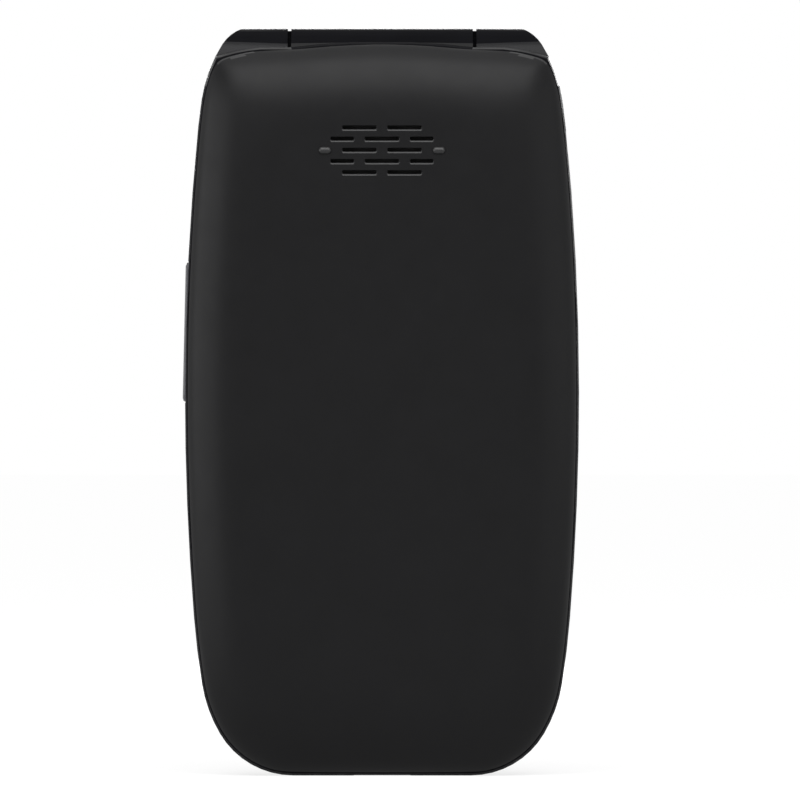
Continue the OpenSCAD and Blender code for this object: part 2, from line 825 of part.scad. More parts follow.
// Battery cover: a rolled shell with the speaker grille, a rib round the grille and tabs that locate it
tab_zs = [(screw_zs[0] + screw_zs[1]) / 2, (screw_zs[1] + screw_zs[2]) / 2];
tab_angles = [40, 66];
tab_sink = 0.3;
tab_gap = 0.25;
module battery_cover() {
    under_seam = acos(back_roll_depth * cos(cover_seam_angle) / (back_roll_depth - cover_wall));
    roll_steps = 8;
    color(shell_black) difference() {
        union() {
            skin(concat(
                [for (a = steps_between(0, cover_seam_angle, roll_steps)) back_ring(a, 0)],
                [for (a = steps_between(under_seam, 0, roll_steps - 1)) back_ring(a, cover_wall)]
            ));
            both_sides() grille_bump();
            cover_tabs();
            grille_rib();
        }
        grille_slots();
    }
}
module cover_tabs() {
    intersection() {
        skin(concat(
            [for (a = steps_between(tab_angles[0], tab_angles[1], 3)) back_ring(a, cover_wall - tab_sink)],
            [for (a = steps_between(tab_angles[1], tab_angles[0], 3)) back_ring(a, cover_wall + tab_t)]
        ), looped = true);
        for (z = tab_zs)
            both_sides() block([body_w / 4, y_back, z - tab_l / 2], [far, y_face, z + tab_l / 2]);
    }
}
module tab_notches() {
    half_l = tab_l / 2 + tab_gap;
    for (z = tab_zs) both_sides() block(
        [body_w / 2 - under_roll(back_roll_side, y_deck) - tab_gap, y_back, z - half_l],
        [far, y_base_edge + lining, z + half_l]
    );
}
module grille_rib() {
    rib_t = 0.8;
    rib_gap = 0.4;
    inner = [mesh_w + 2 * rib_gap, mesh_h + 2 * rib_gap];
    difference() {
        plate(
            rounded(inner[0] + 2 * rib_t, inner[1] + 2 * rib_t, 2.3, 0, grille_z),
            y_cover_in - wall_overlap,
            y_deck - wall_overlap
        );
        plate(rounded(inner[0], inner[1], 1.5, 0, grille_z), y_cover_in - cut, y_deck + cut);
    }
}
module grille_bump() {
    soft = bump_rise / 2;
    end_r = bump_h * 0.45;
    steps = [[soft, -bump_rise], [soft * 0.3, -bump_rise + soft * 0.7], [0, -bump_rise + soft * 1.7], [0, cut]];
    skin([for (s = steps)
        [for (p = rounded(bump_l - 2 * s[0], bump_h - 2 * s[0], end_r - s[0], bump_x, grille_z))
            [p[0], y_back + s[1], p[1]]]]);
}
module grille_slot(x, row, l) {
    plate(
        rounded(l, grille_slot_h, grille_slot_h * 0.4, x, grille_z + row * grille_row_pitch),
        y_back - cut,
        y_cover_in + cut
    );
}
module grille_slots() {
    short_x = grille_slot_pitch + (grille_short_l - grille_slot_l) / 2;
    for (row = [-2:2])
        if (row % 2 == 0) {
            for (s = [-0.5, 0.5]) grille_slot(s * grille_slot_pitch, row, grille_slot_l);
        } else {
            grille_slot(0, row, grille_slot_l);
            for (s = [-1, 1]) grille_slot(s * short_x, row, grille_short_l);
        }
}

// Main board, with a tongue that reaches up to the hinge
board_margin = 9.1;
board_gap = 0.6;
board_half_w = body_w / 2 - board_margin;
board_foot = port_sink + port_l + board_gap;
board_head = jack_z - jack_h / 2 - board_gap;
tongue_gap = 2.2;
tongue_x = jack_x0 - tongue_gap;
module main_board() {
    color(board_green) union() {
        block([-board_half_w, y_board_back, board_foot], [board_half_w, y_board, board_head]);
        block([-tongue_x, y_board_back, board_head - cut], [tongue_x, y_board, barrel_foot - 2 * board_gap]);
    }
}

// Keys: number keys in a grid, and wing keys that hug the navigation ring
number_keys = [
    ["key_star", 0, 0], ["key_0", 1, 0], ["key_hash", 2, 0],
    ["key_7", 0, 1], ["key_8", 1, 1], ["key_9", 2, 1],
    ["key_4", 0, 2], ["key_5", 1, 2], ["key_6", 2, 2],
    ["key_1", 0, 3], ["key_2", 1, 3], ["key_3", 2, 3]
];
key_corner = 2;
wing_corner = 2.4;
soft_t = 0.4;
flange_gap = 0.2;
nav_hole_r = ok_r + 0.25;
rows_half_w = screw_x - boss_r - flange_gap - flange_reach;
key_w = (2 * rows_half_w - 2 * key_web) / 3;
key_h = (rows_head - rows_foot - 3 * key_web) / 4;
wing_end = body_w / 2 - wing_margin;
key_top = y_face + key_rise;

function key_x(col) = (1 - col) * (key_w + key_web);
function key_z(row) = rows_foot + key_h / 2 + row * (key_h + key_web);
function soft_edge(r, top) = [for (a = [0:30:90]) [r - soft_t, top - soft_t] + on_circle(soft_t, a)];

// A cap with softened edges on a flange that keeps it in
module key_cap(w, h, x, z) {
    levels = concat([[w / 2, y_key_foot + flange_t - 0.05]], soft_edge(w / 2, key_top));
    skin([for (p = levels)
        let (in = w / 2 - p[0])
        [for (q = rounded(w - 2 * in, h - 2 * in, key_corner - in, x, z)) [q[0], p[1], q[1]]]]);
    plate(
        rounded(w + 2 * flange_reach, h + 2 * flange_reach, key_corner + flange_reach, x, z),
        y_key_foot,
        y_key_foot + flange_t
    );
}
module number_key(col, row) {
    color(key_black) key_cap(key_w, key_h, key_x(col), key_z(row));
}
module wing(side, up, grow, y0, y1) {
    w = wing_end - wing_x + 2 * grow;
    x = (wing_x + wing_end) / 2 * side;
    z = nav_z + up * (wing_split + wing_h) / 2;
    difference() {
        plate(rounded(w, wing_h + 2 * grow, wing_corner + grow, x, z), y0, y1);
        y_rod(nav_r + nav_gap - grow, 0, nav_z, y0 - cut, y1 + cut);
    }
}
module wing_key(side, up) {
    color(key_black) {
        wing(side, up, 0, y_key_foot, key_top);
        wing(side, up, flange_reach, y_key_foot, y_key_foot + flange_t);
    }
}

// A round key turned about the navigation ring's middle, from points of radius and level
module turned_key(profile) {
    translate([0, 0, nav_z]) rotate([90, 0, 0]) rotate_extrude() polygon([for (p = profile) [p[0], -p[1]]]);
}
module nav_ring() {
    flange_r = nav_r + flange_reach;
    seat_r = ok_r + 2 * flange_reach;
    y_seat = y_key_foot + flange_t + key_travel + layer_gap;
    color(metal_grey) turned_key(concat(
        [
            [seat_r, y_key_foot],
            [flange_r, y_key_foot],
            [flange_r, y_key_foot + flange_t],
            [nav_r, y_key_foot + flange_t]
        ],
        soft_edge(nav_r, key_top),
        [
            [nav_hole_r + soft_t / 2, key_top],
            [nav_hole_r, key_top - soft_t / 2],
            [nav_hole_r, y_seat],
            [seat_r, y_seat]
        ]
    ));
}
module ok_key() {
    flange_r = ok_r + flange_reach;
    color(key_black) turned_key(concat(
        [
            [0, y_key_foot],
            [flange_r, y_key_foot],
            [flange_r, y_key_foot + flange_t],
            [ok_r, y_key_foot + flange_t]
        ],
        soft_edge(ok_r, key_top),
        [[0, key_top]]
    ));
}
module key_openings() {
    y0 = y_face_in - cut;
    y1 = y_face + cut;
    for (k = number_keys)
        plate(
            rounded(key_w + 2 * key_gap, key_h + 2 * key_gap, key_corner + key_gap, key_x(k[1]), key_z(k[2])),
            y0,
            y1
        );
    y_rod(nav_r + key_gap, 0, nav_z, y0, y1);
    for (side = [-1, 1]) for (up = [-1, 1]) wing(side, up, key_gap, y0, y1);
}

// Silicone mat and dome sheet under the keys
mat_reach = 0.2;
mat_corner = 3;
mat_ends = [1.9, 2.2, 1.2];
dome_r = 2.2;
dome_sheet_t = 0.1;
module keypad_mat() {
    rows_z = [rows_foot - mat_ends[0], wings_foot - mat_reach];
    wings_z = [wings_foot - mat_ends[1], wings_head + mat_ends[2]];
    rows_w = 2 * (screw_x - boss_r - flange_gap - layer_gap);
    color("#55585c") union() {
        plate(
            rounded(rows_w, rows_z[1] - rows_z[0], mat_corner, 0, (rows_z[0] + rows_z[1]) / 2),
            y_dome,
            y_mat
        );
        plate(
            rounded(
                2 * (wing_end + mat_reach),
                wings_z[1] - wings_z[0],
                mat_corner,
                0,
                (wings_z[0] + wings_z[1]) / 2
            ),
            y_dome,
            y_mat
        );
    }
}
module dome_sheet() {
    margin = 0.3;
    ends = [board_foot + 1.1, board_head - 2.9];
    color(plastic_white) union() {
        plate(
            rounded(
                2 * (board_half_w - margin),
                ends[1] - ends[0],
                mat_corner - 1,
                0,
                (ends[0] + ends[1]) / 2
            ),
            y_board,
            y_board + dome_sheet_t
        );
        for (k = number_keys) y_rod(dome_r, key_x(k[1]), key_z(k[2]), y_board, y_dome);
    }
}

// Keypad housing: the face round the keys, with bosses for the housing screws
fit_gap = 0.02;
barrel_seat = 3;
module keypad_housing() {
    color(shell_black) difference() {
        union() {
            skin([
                base_ring(side_wall, side_wall, y_face_in),
                base_ring(side_wall, side_wall, y_split),
                base_ring(0, 0, y_split),
                base_ring(0, 0, y_face - edge_r),
                base_ring(edge_r * 0.3, edge_r * 0.3, y_face - edge_r * 0.3),
                base_ring(edge_r, edge_r, y_face)
            ]);
            at_housing_screws() y_rod(boss_r, 0, 0, y_floor, y_face_in + cut / 2);
        }
        key_openings();
        knuckle_room();
        barrel(barrel_r + fit_gap, -knuckle_end - cut, knuckle_end + cut);
        block([-far, y_split - cut, hinge_z - barrel_seat], [far, y_face + cut, body_len + cut]);
        at_housing_screws() y_rod(screw_r, 0, 0, y_floor - cut, y_face_in);
    }
}

// Hinge: the cartridge is keyed into the middle knuckle, its pin turns with the lid on one side, and a
// hollow bush with the flex cable carries the lid on the other
cartridge_x1 = 4;
cartridge_end_gap = 0.1;
key_rib = [0.8, 0.5];
pin_l = 8;
pin_end_gap = 0.2;
bush_l = 3;
bush_x0 = knuckle_end - bush_l;
flex_x = [6.6, 9];
flex_t = 0.2;
flex_w = flex_x[1] - flex_x[0];
flex_foot = barrel_foot - 3.5;
y_flex = hinge_y - 2.1;
module cartridge_rib(gap, x0) {
    block(
        [x0, hinge_y - key_rib[0] / 2 - gap, hinge_z - cartridge_r - key_rib[1] - gap],
        [0, hinge_y + key_rib[0] / 2 + gap, hinge_z - hinge_pin_r - cut]
    );
}
module cartridge_bore() {
    barrel(cartridge_r + running_fit, -knuckle_end - cut, knuckle_end + cut);
    cartridge_rib(running_fit, -knuckle_end - cut);
}
module hinge_cartridge() {
    color(metal_grey) difference() {
        union() {
            barrel(cartridge_r, -knuckle_end + cartridge_end_gap, cartridge_x1);
            cartridge_rib(0, -knuckle_end + 1);
        }
        barrel(hinge_pin_r + running_fit, -knuckle_end - cut, -knuckle_end + pin_l);
    }
}
module hinge_pin() {
    color(metal_grey)
        barrel(
            hinge_pin_r,
            -lid_knuckle_start - hinge_socket_l + pin_end_gap,
            -knuckle_end + pin_l - pin_end_gap
        );
}
module hinge_bush() {
    color(metal_grey) difference() {
        barrel(cartridge_r, bush_x0, lid_knuckle_start + hinge_socket_l - pin_end_gap);
        barrel(cartridge_r - bush_wall, bush_x0 - cut, far);
    }
}
module flex_slot() {
    block(
        [flex_x[0] - lining, y_flex - layer_gap, barrel_foot - cut],
        [flex_x[1] + lining, y_flex + 0.5, hinge_z - 1]
    );
}
module hinge_flex() {
    turn_r = cartridge_r - 0.3;
    tail_l = 1.5;
    color("#b4692a") union() {
        difference() {
            barrel(turn_r, flex_x[0], flex_x[1]);
            barrel(turn_r - 2 * flex_t, flex_x[0] - cut, flex_x[1] + cut);
        }
        block([flex_x[0], y_flex, flex_foot], [flex_x[1], y_flex + flex_t, hinge_z - 1.2]);
        block([flex_x[0], y_board, flex_foot], [flex_x[1], y_flex + layer_gap, flex_foot + tail_l]);
    }
}

// Lid screws: the upper pair is hidden by plugs and the lower pair by rubber bumpers
lid_screw_drop = 3;
lid_screw_l = 3.7;
lid_screw_head_r = 1.6;
lid_screw_head_t = 0.7;
lid_boss_r = 2.1;
lid_boss_gap = 0.4;
foot_boss_l = 2;
plug_r = 2;
plug_t = 0.6;
bumper_gap = 0.05;
lid_screws_top = [body_w / 2 - 6.4, slope_start - lid_screw_drop];
lid_screws_foot = [body_w / 2 - 8.8, 5.6];
all_lid_screws = [lid_screws_top, lid_screws_foot];
y_lid_screw = y_lid + plug_t + layer_gap;
module at_lid_screws(which) {
    for (p = which) both_sides() translate([p[0], 0, p[1]]) children();
}
module lid_screws() {
    color(metal_grey) at_lid_screws(all_lid_screws) union() {
        y_rod(lid_screw_head_r, 0, 0, y_lid_screw, y_lid_screw + lid_screw_head_t);
        y_rod(screw_r, 0, 0, y_lid_screw + lid_screw_head_t / 2, y_lid_screw + lid_screw_l);
    }
}
module screw_plugs() {
    color(trim_black) at_lid_screws([lid_screws_top]) y_rod(plug_r, 0, 0, y_lid + fit_gap, y_lid + plug_t);
}
module lid_bumpers() {
    color(trim_black) at_lid_screws([lid_screws_foot])
        y_rod(plug_r, 0, 0, y_lid - halves_gap + bumper_gap, y_lid + plug_t);
}

// Lid cover: a rolled shell that slopes down into the two outer knuckles
module hinge_slope() {
    run = slope_end - slope_start;
    bend_r = (run * run + slope_depth * slope_depth) / (2 * slope_depth);
    sweep = asin(run / bend_r);
    steps = 12;
    middle = [y_front - bend_r, slope_start];
    inside = y_lid_split - 2 * lid_wall;
    profile = concat(
        [[inside, -cut], [y_front + cut, -cut], [y_front + cut, slope_start]],
        [for (k = [0:steps]) middle + on_circle(bend_r, sweep * k / steps)],
        [[inside, slope_end]]
    );
    translate([far, 0, 0]) rotate([0, -90, 0]) linear_extrude(2 * far)
        polygon([for (p = profile) [p[1], p[0]]]);
    barrel(barrel_r, -far, far);
}
module lid_cover() {
    roll_steps = 8;
    outer = concat(
        [lid_ring(0, 0, y_lid_split)],
        [for (a = steps_between(90, 0, roll_steps)) front_ring(a, 0)]
    );
    y_boss = y_lid_split + lid_boss_gap;
    color(shell_black) difference() {
        union() {
            intersection() {
                union() {
                    skin(concat(
                        [for (a = steps_between(0, 90, roll_steps - 1)) front_ring(a, lid_wall)],
                        [lid_ring(lid_wall, lid_wall, y_lid_split)],
                        outer
                    ));
                    intersection() {
                        skin(outer);
                        block([-far, y_lid_split - cut, slope_start - 1], [far, y_front + cut, body_len + cut]);
                    }
                }
                hinge_slope();
            }
            outer_knuckles();
            at_lid_screws([lid_screws_top]) y_rod(lid_boss_r, 0, 0, y_boss, y_lid_in + wall_overlap);
            at_lid_screws([lid_screws_foot]) y_rod(lid_boss_r, 0, 0, y_boss, y_boss + foot_boss_l);
        }
        barrel(swing_r, -lid_knuckle_start, lid_knuckle_start);
        block([-lid_knuckle_start, y_lid - cut, nose_z], [lid_knuckle_start, y_front + cut, body_len + cut]);
        barrel(hinge_pin_r, -lid_knuckle_start - hinge_socket_l, -lid_knuckle_start + cut);
        barrel(cartridge_r, lid_knuckle_start - cut, lid_knuckle_start + hinge_socket_l);
        outer_window_room();
        at_lid_screws(all_lid_screws) y_rod(screw_r, 0, 0, y_lid_split, y_lid_screw + lid_screw_l + lining);
    }
}
module outer_knuckles() {
    intersection() {
        both_sides() barrel(barrel_r, lid_knuckle_start, far);
        plate(lid_outline, hinge_y - barrel_r - cut, hinge_y + barrel_r + cut);
    }
}

// Outer window and camera lens in the lid's face, each on a ledge
glue_t = 0.1;
glass_t = 0.9;
glass_gap = 0.05;
outer_corner = 4;
outer_ledge = 1.5;
lens_ledge = 1;
module outer_window_room() {
    y_seat = y_front - glass_t - glue_t;
    plate(rounded(outer_window_w, outer_window_l, outer_corner, 0, outer_window_z), y_seat, y_front + cut);
    plate(
        rounded(
            outer_window_w - 2 * outer_ledge,
            outer_window_l - 2 * outer_ledge,
            outer_corner - outer_ledge,
            0,
            outer_window_z
        ),
        y_lid_in - cut,
        y_front
    );
    y_rod(lens_r, 0, camera_z, y_seat, y_front + cut);
    y_rod(lens_r - lens_ledge, 0, camera_z, y_lid_in - cut, y_front);
}
module outer_window() {
    w = outer_window_w - 2 * glass_gap;
    l = outer_window_l - 2 * glass_gap;
    y_seat = y_front - glass_t - glue_t;
    color(glass_black)
        plate(rounded(w, l, outer_corner - glass_gap, 0, outer_window_z), y_seat, y_seat + glass_t);
}
module camera_lens() {
    y_seat = y_front - glass_t - glue_t;
    color(glass_black) y_rod(lens_r - glass_gap, 0, camera_z, y_seat, y_seat + glass_t);
}
module camera_module() {
    half = lens_r + 0.4;
    color("#1a1a1c") union() {
        block([-half, y_lid_board_front, camera_z - half], [half, y_lid_in - cover_room, camera_z + half]);
        y_rod(lens_r - lens_ledge - lining, 0, camera_z, y_lid_in - 2 * cover_room, y_lid_in + lining);
    }
}
module outer_display() {
    margin = 1;
    half_w = outer_window_w / 2 - margin;
    half_l = outer_window_l / 2 - margin;
    color(glass_black) block(
        [-half_w, y_outer_display, outer_window_z - half_l],
        [half_w, y_outer_display + outer_display_t, outer_window_z + half_l]
    );
}

// Lid frame, with the main display and its window, and the earpiece with its mesh
window_corner = 2.5;
window_ledge = [1.7, 3];
window_w = body_w - 2 * window_margin;
window_head = lid_screws_top[1] - plug_r - window_gap;
window_l = window_head - window_foot;
window_z = (window_head + window_foot) / 2;
ear_w = 10.4;
ear_h = 2.4;
ear_sink = 0.5;
ear_ledge = [0.7, 0.6];
earpiece_w = 13;
earpiece_l = 5.2;
earpiece_t = 2.4;
mesh_gap = 0.05;
module lid_frame() {
    color(shell_black) difference() {
        skin([
            lid_ring(edge_r, edge_r, y_lid),
            lid_ring(edge_r * 0.3, edge_r * 0.3, y_lid + edge_r * 0.3),
            lid_ring(0, 0, y_lid + edge_r),
            lid_ring(0, 0, y_lid_split),
            lid_ring(lid_wall, lid_wall, y_lid_split),
            lid_ring(lid_wall, lid_wall, y_frame_in)
        ]);
        barrel(swing_r, -lid_knuckle_start, lid_knuckle_start);
        both_sides() barrel(barrel_r + fit_gap, lid_knuckle_start - cut, far);
        block([-far, y_lid - cut, hinge_z - barrel_seat], [far, y_lid_split + cut, body_len + cut]);
        plate(rounded(window_w, window_l, window_corner, 0, window_z), y_lid - cut, y_ledge);
        plate(
            rounded(window_w - 2 * window_ledge[0], window_l - 2 * window_ledge[1], 1, 0, window_z),
            y_lid,
            y_frame_in + cut
        );
        plate(rounded(ear_w, ear_h, ear_h * 0.46, 0, earpiece_z), y_lid - cut, y_lid + ear_sink);
        plate(
            rounded(
                ear_w - 2 * ear_ledge[0],
                ear_h - 2 * ear_ledge[1],
                (ear_h / 2 - ear_ledge[1]) * 0.9,
                0,
                earpiece_z
            ),
            y_lid,
            y_frame_in + cut
        );
        at_lid_screws(all_lid_screws) {
            y_rod(plug_r + glass_gap, 0, 0, y_lid - cut, y_lid_screw);
            y_rod(lid_screw_head_r + layer_gap, 0, 0, y_lid, y_lid_screw + lid_screw_head_t);
            y_rod(screw_r + layer_gap, 0, 0, y_lid, y_lid_split);
        }
    }
}
module main_display() {
    margin = [0.5, 1];
    color(glass_black) plate(
        rounded(window_w - 2 * margin[0], window_l - 2 * margin[1], 1, 0, window_z),
        y_display,
        y_display + display_t
    );
}
module display_window() {
    w = window_w - 2 * glass_gap;
    l = window_l - 2 * glass_gap;
    color(glass_black) plate(rounded(w, l, window_corner - glass_gap, 0, window_z), y_window, y_ledge);
}
module earpiece() {
    y0 = y_frame_in + layer_gap;
    color(metal_grey) block(
        [-earpiece_w / 2, y0, earpiece_z - earpiece_l / 2],
        [earpiece_w / 2, y0 + earpiece_t, earpiece_z + earpiece_l / 2]
    );
}
module earpiece_mesh() {
    w = ear_w - 2 * mesh_gap;
    h = ear_h - 2 * mesh_gap;
    color(metal_grey) plate(rounded(w, h, h * 0.46, 0, earpiece_z), y_lid + 0.3 * ear_sink, y_lid + ear_sink);
}
module lid_magnet() {
    x = earpiece_w / 2 + 3.5;
    size = [3, 1.2, 3];
    y0 = y_frame_in + layer_gap;
    color(metal_grey) block([x, y0, earpiece_z - size[2]], [x + size[0], y0 + size[1], earpiece_z]);
}
module lid_board() {
    half_w = window_w / 2 - 4.5;
    tongue_half_w = half_w - 7;
    foot = window_foot - 3;
    head = window_head - 1;
    color(board_green) union() {
        block([-half_w, y_lid_board, foot], [half_w, y_lid_board_front, head]);
        block(
            [-tongue_half_w, y_lid_board, head - cut],
            [tongue_half_w, y_lid_board_front, slope_start - lid_wall]
        );
    }
}

rear_housing();
keypad_housing();
battery_cover();
battery();
battery_connector();
main_board();
shield_cans();
loudspeaker();
speaker_mesh();
microphone();
vibration_motor();
antenna();
usb_port();
headset_jack();
sim_holder();
keypad_mat();
dome_sheet();
rocker_switch();
housing_screws();
number_key(0, 3);  // key_1
number_key(1, 3);  // key_2
number_key(2, 3);  // key_3
number_key(0, 2);  // key_4
number_key(1, 2);  // key_5
number_key(2, 2);  // key_6
number_key(0, 1);  // key_7
number_key(1, 1);  // key_8
number_key(2, 1);  // key_9
number_key(0, 0);  // key_star
number_key(1, 0);  // key_0
number_key(2, 0);  // key_hash
nav_ring();
ok_key();
wing_key(1, 1);  // soft_key_left
wing_key(-1, 1);  // soft_key_right
wing_key(1, -1);  // call_key
wing_key(-1, -1);  // end_key
volume_rocker();
hinge_cartridge();
hinge_pin();
hinge_bush();
hinge_flex();
lid_cover();
lid_frame();
main_display();
display_window();
outer_display();
outer_window();
earpiece();
earpiece_mesh();
camera_module();
camera_lens();
lid_board();
lid_screws();
screw_plugs();
lid_bumpers();
lid_magnet();
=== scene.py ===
"""Flip phone, closed and seen from behind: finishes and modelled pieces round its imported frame.

X runs across the phone, Y through its thickness with the battery cover at -Y, Z along its length.
"""
import json
import math
from typing import NamedTuple

import bmesh
import bpy
from bpy.props import FloatProperty, FloatVectorProperty, PointerProperty
from bpy.types import Operator, Panel, PropertyGroup
from mathutils import Matrix, Vector


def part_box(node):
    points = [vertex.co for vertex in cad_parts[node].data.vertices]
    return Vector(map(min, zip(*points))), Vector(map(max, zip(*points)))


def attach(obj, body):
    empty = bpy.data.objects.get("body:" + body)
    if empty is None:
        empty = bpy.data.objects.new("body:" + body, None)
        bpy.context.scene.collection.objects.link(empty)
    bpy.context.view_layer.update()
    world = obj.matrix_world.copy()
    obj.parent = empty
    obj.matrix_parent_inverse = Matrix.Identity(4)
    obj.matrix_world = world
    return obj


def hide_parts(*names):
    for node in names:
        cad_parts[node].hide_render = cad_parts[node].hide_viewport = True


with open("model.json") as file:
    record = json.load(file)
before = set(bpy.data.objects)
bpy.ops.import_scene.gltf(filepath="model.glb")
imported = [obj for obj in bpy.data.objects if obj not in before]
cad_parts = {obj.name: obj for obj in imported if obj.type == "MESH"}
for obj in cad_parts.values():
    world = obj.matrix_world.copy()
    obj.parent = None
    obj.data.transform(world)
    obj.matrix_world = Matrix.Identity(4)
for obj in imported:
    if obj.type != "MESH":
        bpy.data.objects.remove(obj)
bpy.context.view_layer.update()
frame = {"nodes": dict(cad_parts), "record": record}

bl_info = {
    "name": "Flip Phone",
    "version": (1, 0, 0),
    "blender": (4, 5, 0),
    "location": "View3D > Sidebar > Flip Phone",
    "description": "Builds a black flip phone with a rolled battery cover and a knuckle hinge",
    "category": "Object",
}

MM = 0.001
MERGE = 0.001 * MM
BODY_OF = {node: body for body, nodes in frame["record"]["behaviour"]["bodies"].items() for node in nodes}
BOXES = {node: [Vector(corner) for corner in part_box(node)] for node in frame["nodes"]}
MIDDLES = {node: (low + high) / 2 for node, (low, high) in BOXES.items()}

# Faces that meet at more than this angle have a crease between them
CREASE = math.radians(38)
# The faces beside a rim's edges meet nearly square, at more than this angle in radians
SQUARE = 1
# Faces that meet at less than this angle lie in one plane
FLAT = math.radians(0.3)


def linear(code):
    """The linear colour of an sRGB hex value."""
    parts = [int(code[i:i + 2], 16) / 255 for i in (1, 3, 5)]
    return tuple(c / 12.92 if c <= 0.04045 else ((c + 0.055) / 1.055) ** 2.4 for c in parts)


def length(label, text, value):
    """A length property, given in millimetres."""
    return FloatProperty(name=label, description=text, default=value * MM, subtype="DISTANCE", unit="LENGTH")


def angle(label, text, value):
    """An angle property, given in degrees."""
    return FloatProperty(name=label, description=text, default=math.radians(value), subtype="ANGLE",
                         unit="ROTATION")


def colour(label, text, code):
    """A colour property, given as an sRGB hex value."""
    return FloatVectorProperty(name=label, description=text, default=linear(code), subtype="COLOR", min=0,
                               max=1)


def power(label, which, watts):
    """The power of a lamp, given in watts."""
    return FloatProperty(name=label, description=f"Power of the {which}", default=watts, unit="POWER")


class CoverSizes(PropertyGroup):
    """Sizes of the battery cover."""
    wall: length("Wall", "Thickness of the cover", 1.2)
    side_roll: length("Side roll", "Width of the rolled edge along the sides", 8.5)
    end_roll: length("End roll", "Width of the rolled edge at the two ends", 11)
    roll_depth: length("Roll depth", "Depth of the rolled edge", 5.2)
    seam_angle: angle("Seam angle", "Angle round the roll at which the cover ends", 74)
    corner_drop: length("Corner drop", "Height of the corners' start below the barrel's top", 3.8)
    corner_width: length("Corner width", "Width of each falling corner", 6.25)
    top_drop: length("Top drop", "Height of the upper edge below the barrel's top", 2.75)
    crown: length("Crown", "Rise of the upper edge between the knuckle gaps", 0.8)
    crown_line: length("Crown line", "Length of the bright line rubbed along the crown", 14.4)
    knuckle: length("Knuckle", "Length of the middle knuckle", 25.3)


class GrilleSizes(PropertyGroup):
    """Sizes of the speaker grille in the battery cover."""
    height: length("Height", "Height of the grille's middle above the foot", 86.78)
    row_pitch: length("Row pitch", "Distance from row to row", 1.55)
    slot_pitch: length("Slot pitch", "Distance from slot to slot along a row", 6.25)
    slot_length: length("Slot length", "Length of a long slot", 4.9)
    short_length: length("Short slot length", "Length of the slots that end the even rows", 3.4)
    slot_height: length("Slot height", "Height of a slot", 0.75)
    lip: length("Lip", "Width of the sloping lower lip inside a slot", 0.23)
    bump_place: length("Bump place", "Distance of each oval bump from the middle", 7.9)
    bump_length: length("Bump length", "Length of an oval bump", 1.8)
    bump_height: length("Bump height", "Height of an oval bump along the phone", 1)
    bump_rise: length("Bump rise", "How far an oval bump stands out", 0.4)


class KeySizes(PropertyGroup):
    """Sizes of the keys and of what is printed on them."""
    flange: length("Flange", "Reach of the flange round a key", 0.4)
    flange_thickness: length("Flange thickness", "Thickness of that flange", 0.35)
    corner: length("Corner", "Corner radius of a number key", 2)
    soft_edge: length("Soft edge", "Radius of a key's upper edge", 0.4)
    crown: length("Crown", "Rise of a key's middle", 0.09)
    digit: length("Digit", "Size of a printed digit", 4.6)
    letters: length("Letters", "Size of the printed letters", 2)
    print_thickness: length("Print", "Thickness of the print", 0.01)


class Finishes(PropertyGroup):
    """Colours of the finishes."""
    cover: colour("Battery cover", "Soft-touch lacquer", "#0f0f10")
    housing: colour("Housings", "Satin moulded plastic", "#111113")
    lid: colour("Lid", "Gloss lacquer", "#101012")
    keys: colour("Keys", "Moulded key caps", "#1e1e20")
    legend: colour("Print", "Printing on the keys", "#e6e6e2")
    call: colour("Call sign", "Printing on the call key", "#3fae5a")
    end: colour("End sign", "Printing on the end key", "#c9413a")
    rocker: colour("Rocker", "Volume rocker", "#424245")
    battery: colour("Battery", "Shrink film round the battery", "#33363b")


class StudioSettings(PropertyGroup):
    """Camera and light."""
    distance: length("Distance", "Camera to phone", 1500)
    view_height: length("View height", "Height of what the camera takes in", 111.54)
    shift_x: length("Sideways", "Camera to the right of the phone's middle", 2.5)
    shift_z: length("Height", "Camera above the foot", 52.2)
    top_power: power("Top light", "upper lamp on the cover's side", 4.1)
    left_power: power("Left light", "left lamp", 1.55)
    right_power: power("Right light", "right lamp", 0.42)
    over_power: power("Overhead light", "overhead lamp", 0.9)
    rear_power: power("Rear light", "small upper lamp on the lid's side", 0.06)
    front_power: power("Front light", "low lamp on the lid's side", 3.1)
    ambient: FloatProperty(name="Surroundings", description="Strength of the grey surroundings", default=0.1)


# ---------------------------------------------------------------- materials

class Grain(NamedTuple):
    """Noise with grains of a size given in millimetres, drawn longer along an axis that is stretched."""
    size: float
    detail: float = 2
    stretch: tuple = (1, 1, 1)


class Bands(NamedTuple):
    """Bands side by side along X, a distance apart given in millimetres."""
    pitch: float


class Recipe(NamedTuple):
    """What a finish is made of. A colour is a hex value or the name of one in Finishes.

    slot is the record's slot for this finish; it is not used. relief is a bump's depth in millimetres with
    its pattern. tint leads to another colour, or to a multiple of the first, within the spread of its
    pattern, and gloss leads from one roughness to another."""
    slot: str
    colour: str
    roughness: float
    relief: tuple
    specular: float = 0.5
    metallic: float = 0
    tint: tuple = ()
    spread: tuple = (0.35, 0.65)
    gloss: tuple = ()
    other_sockets: dict = {}


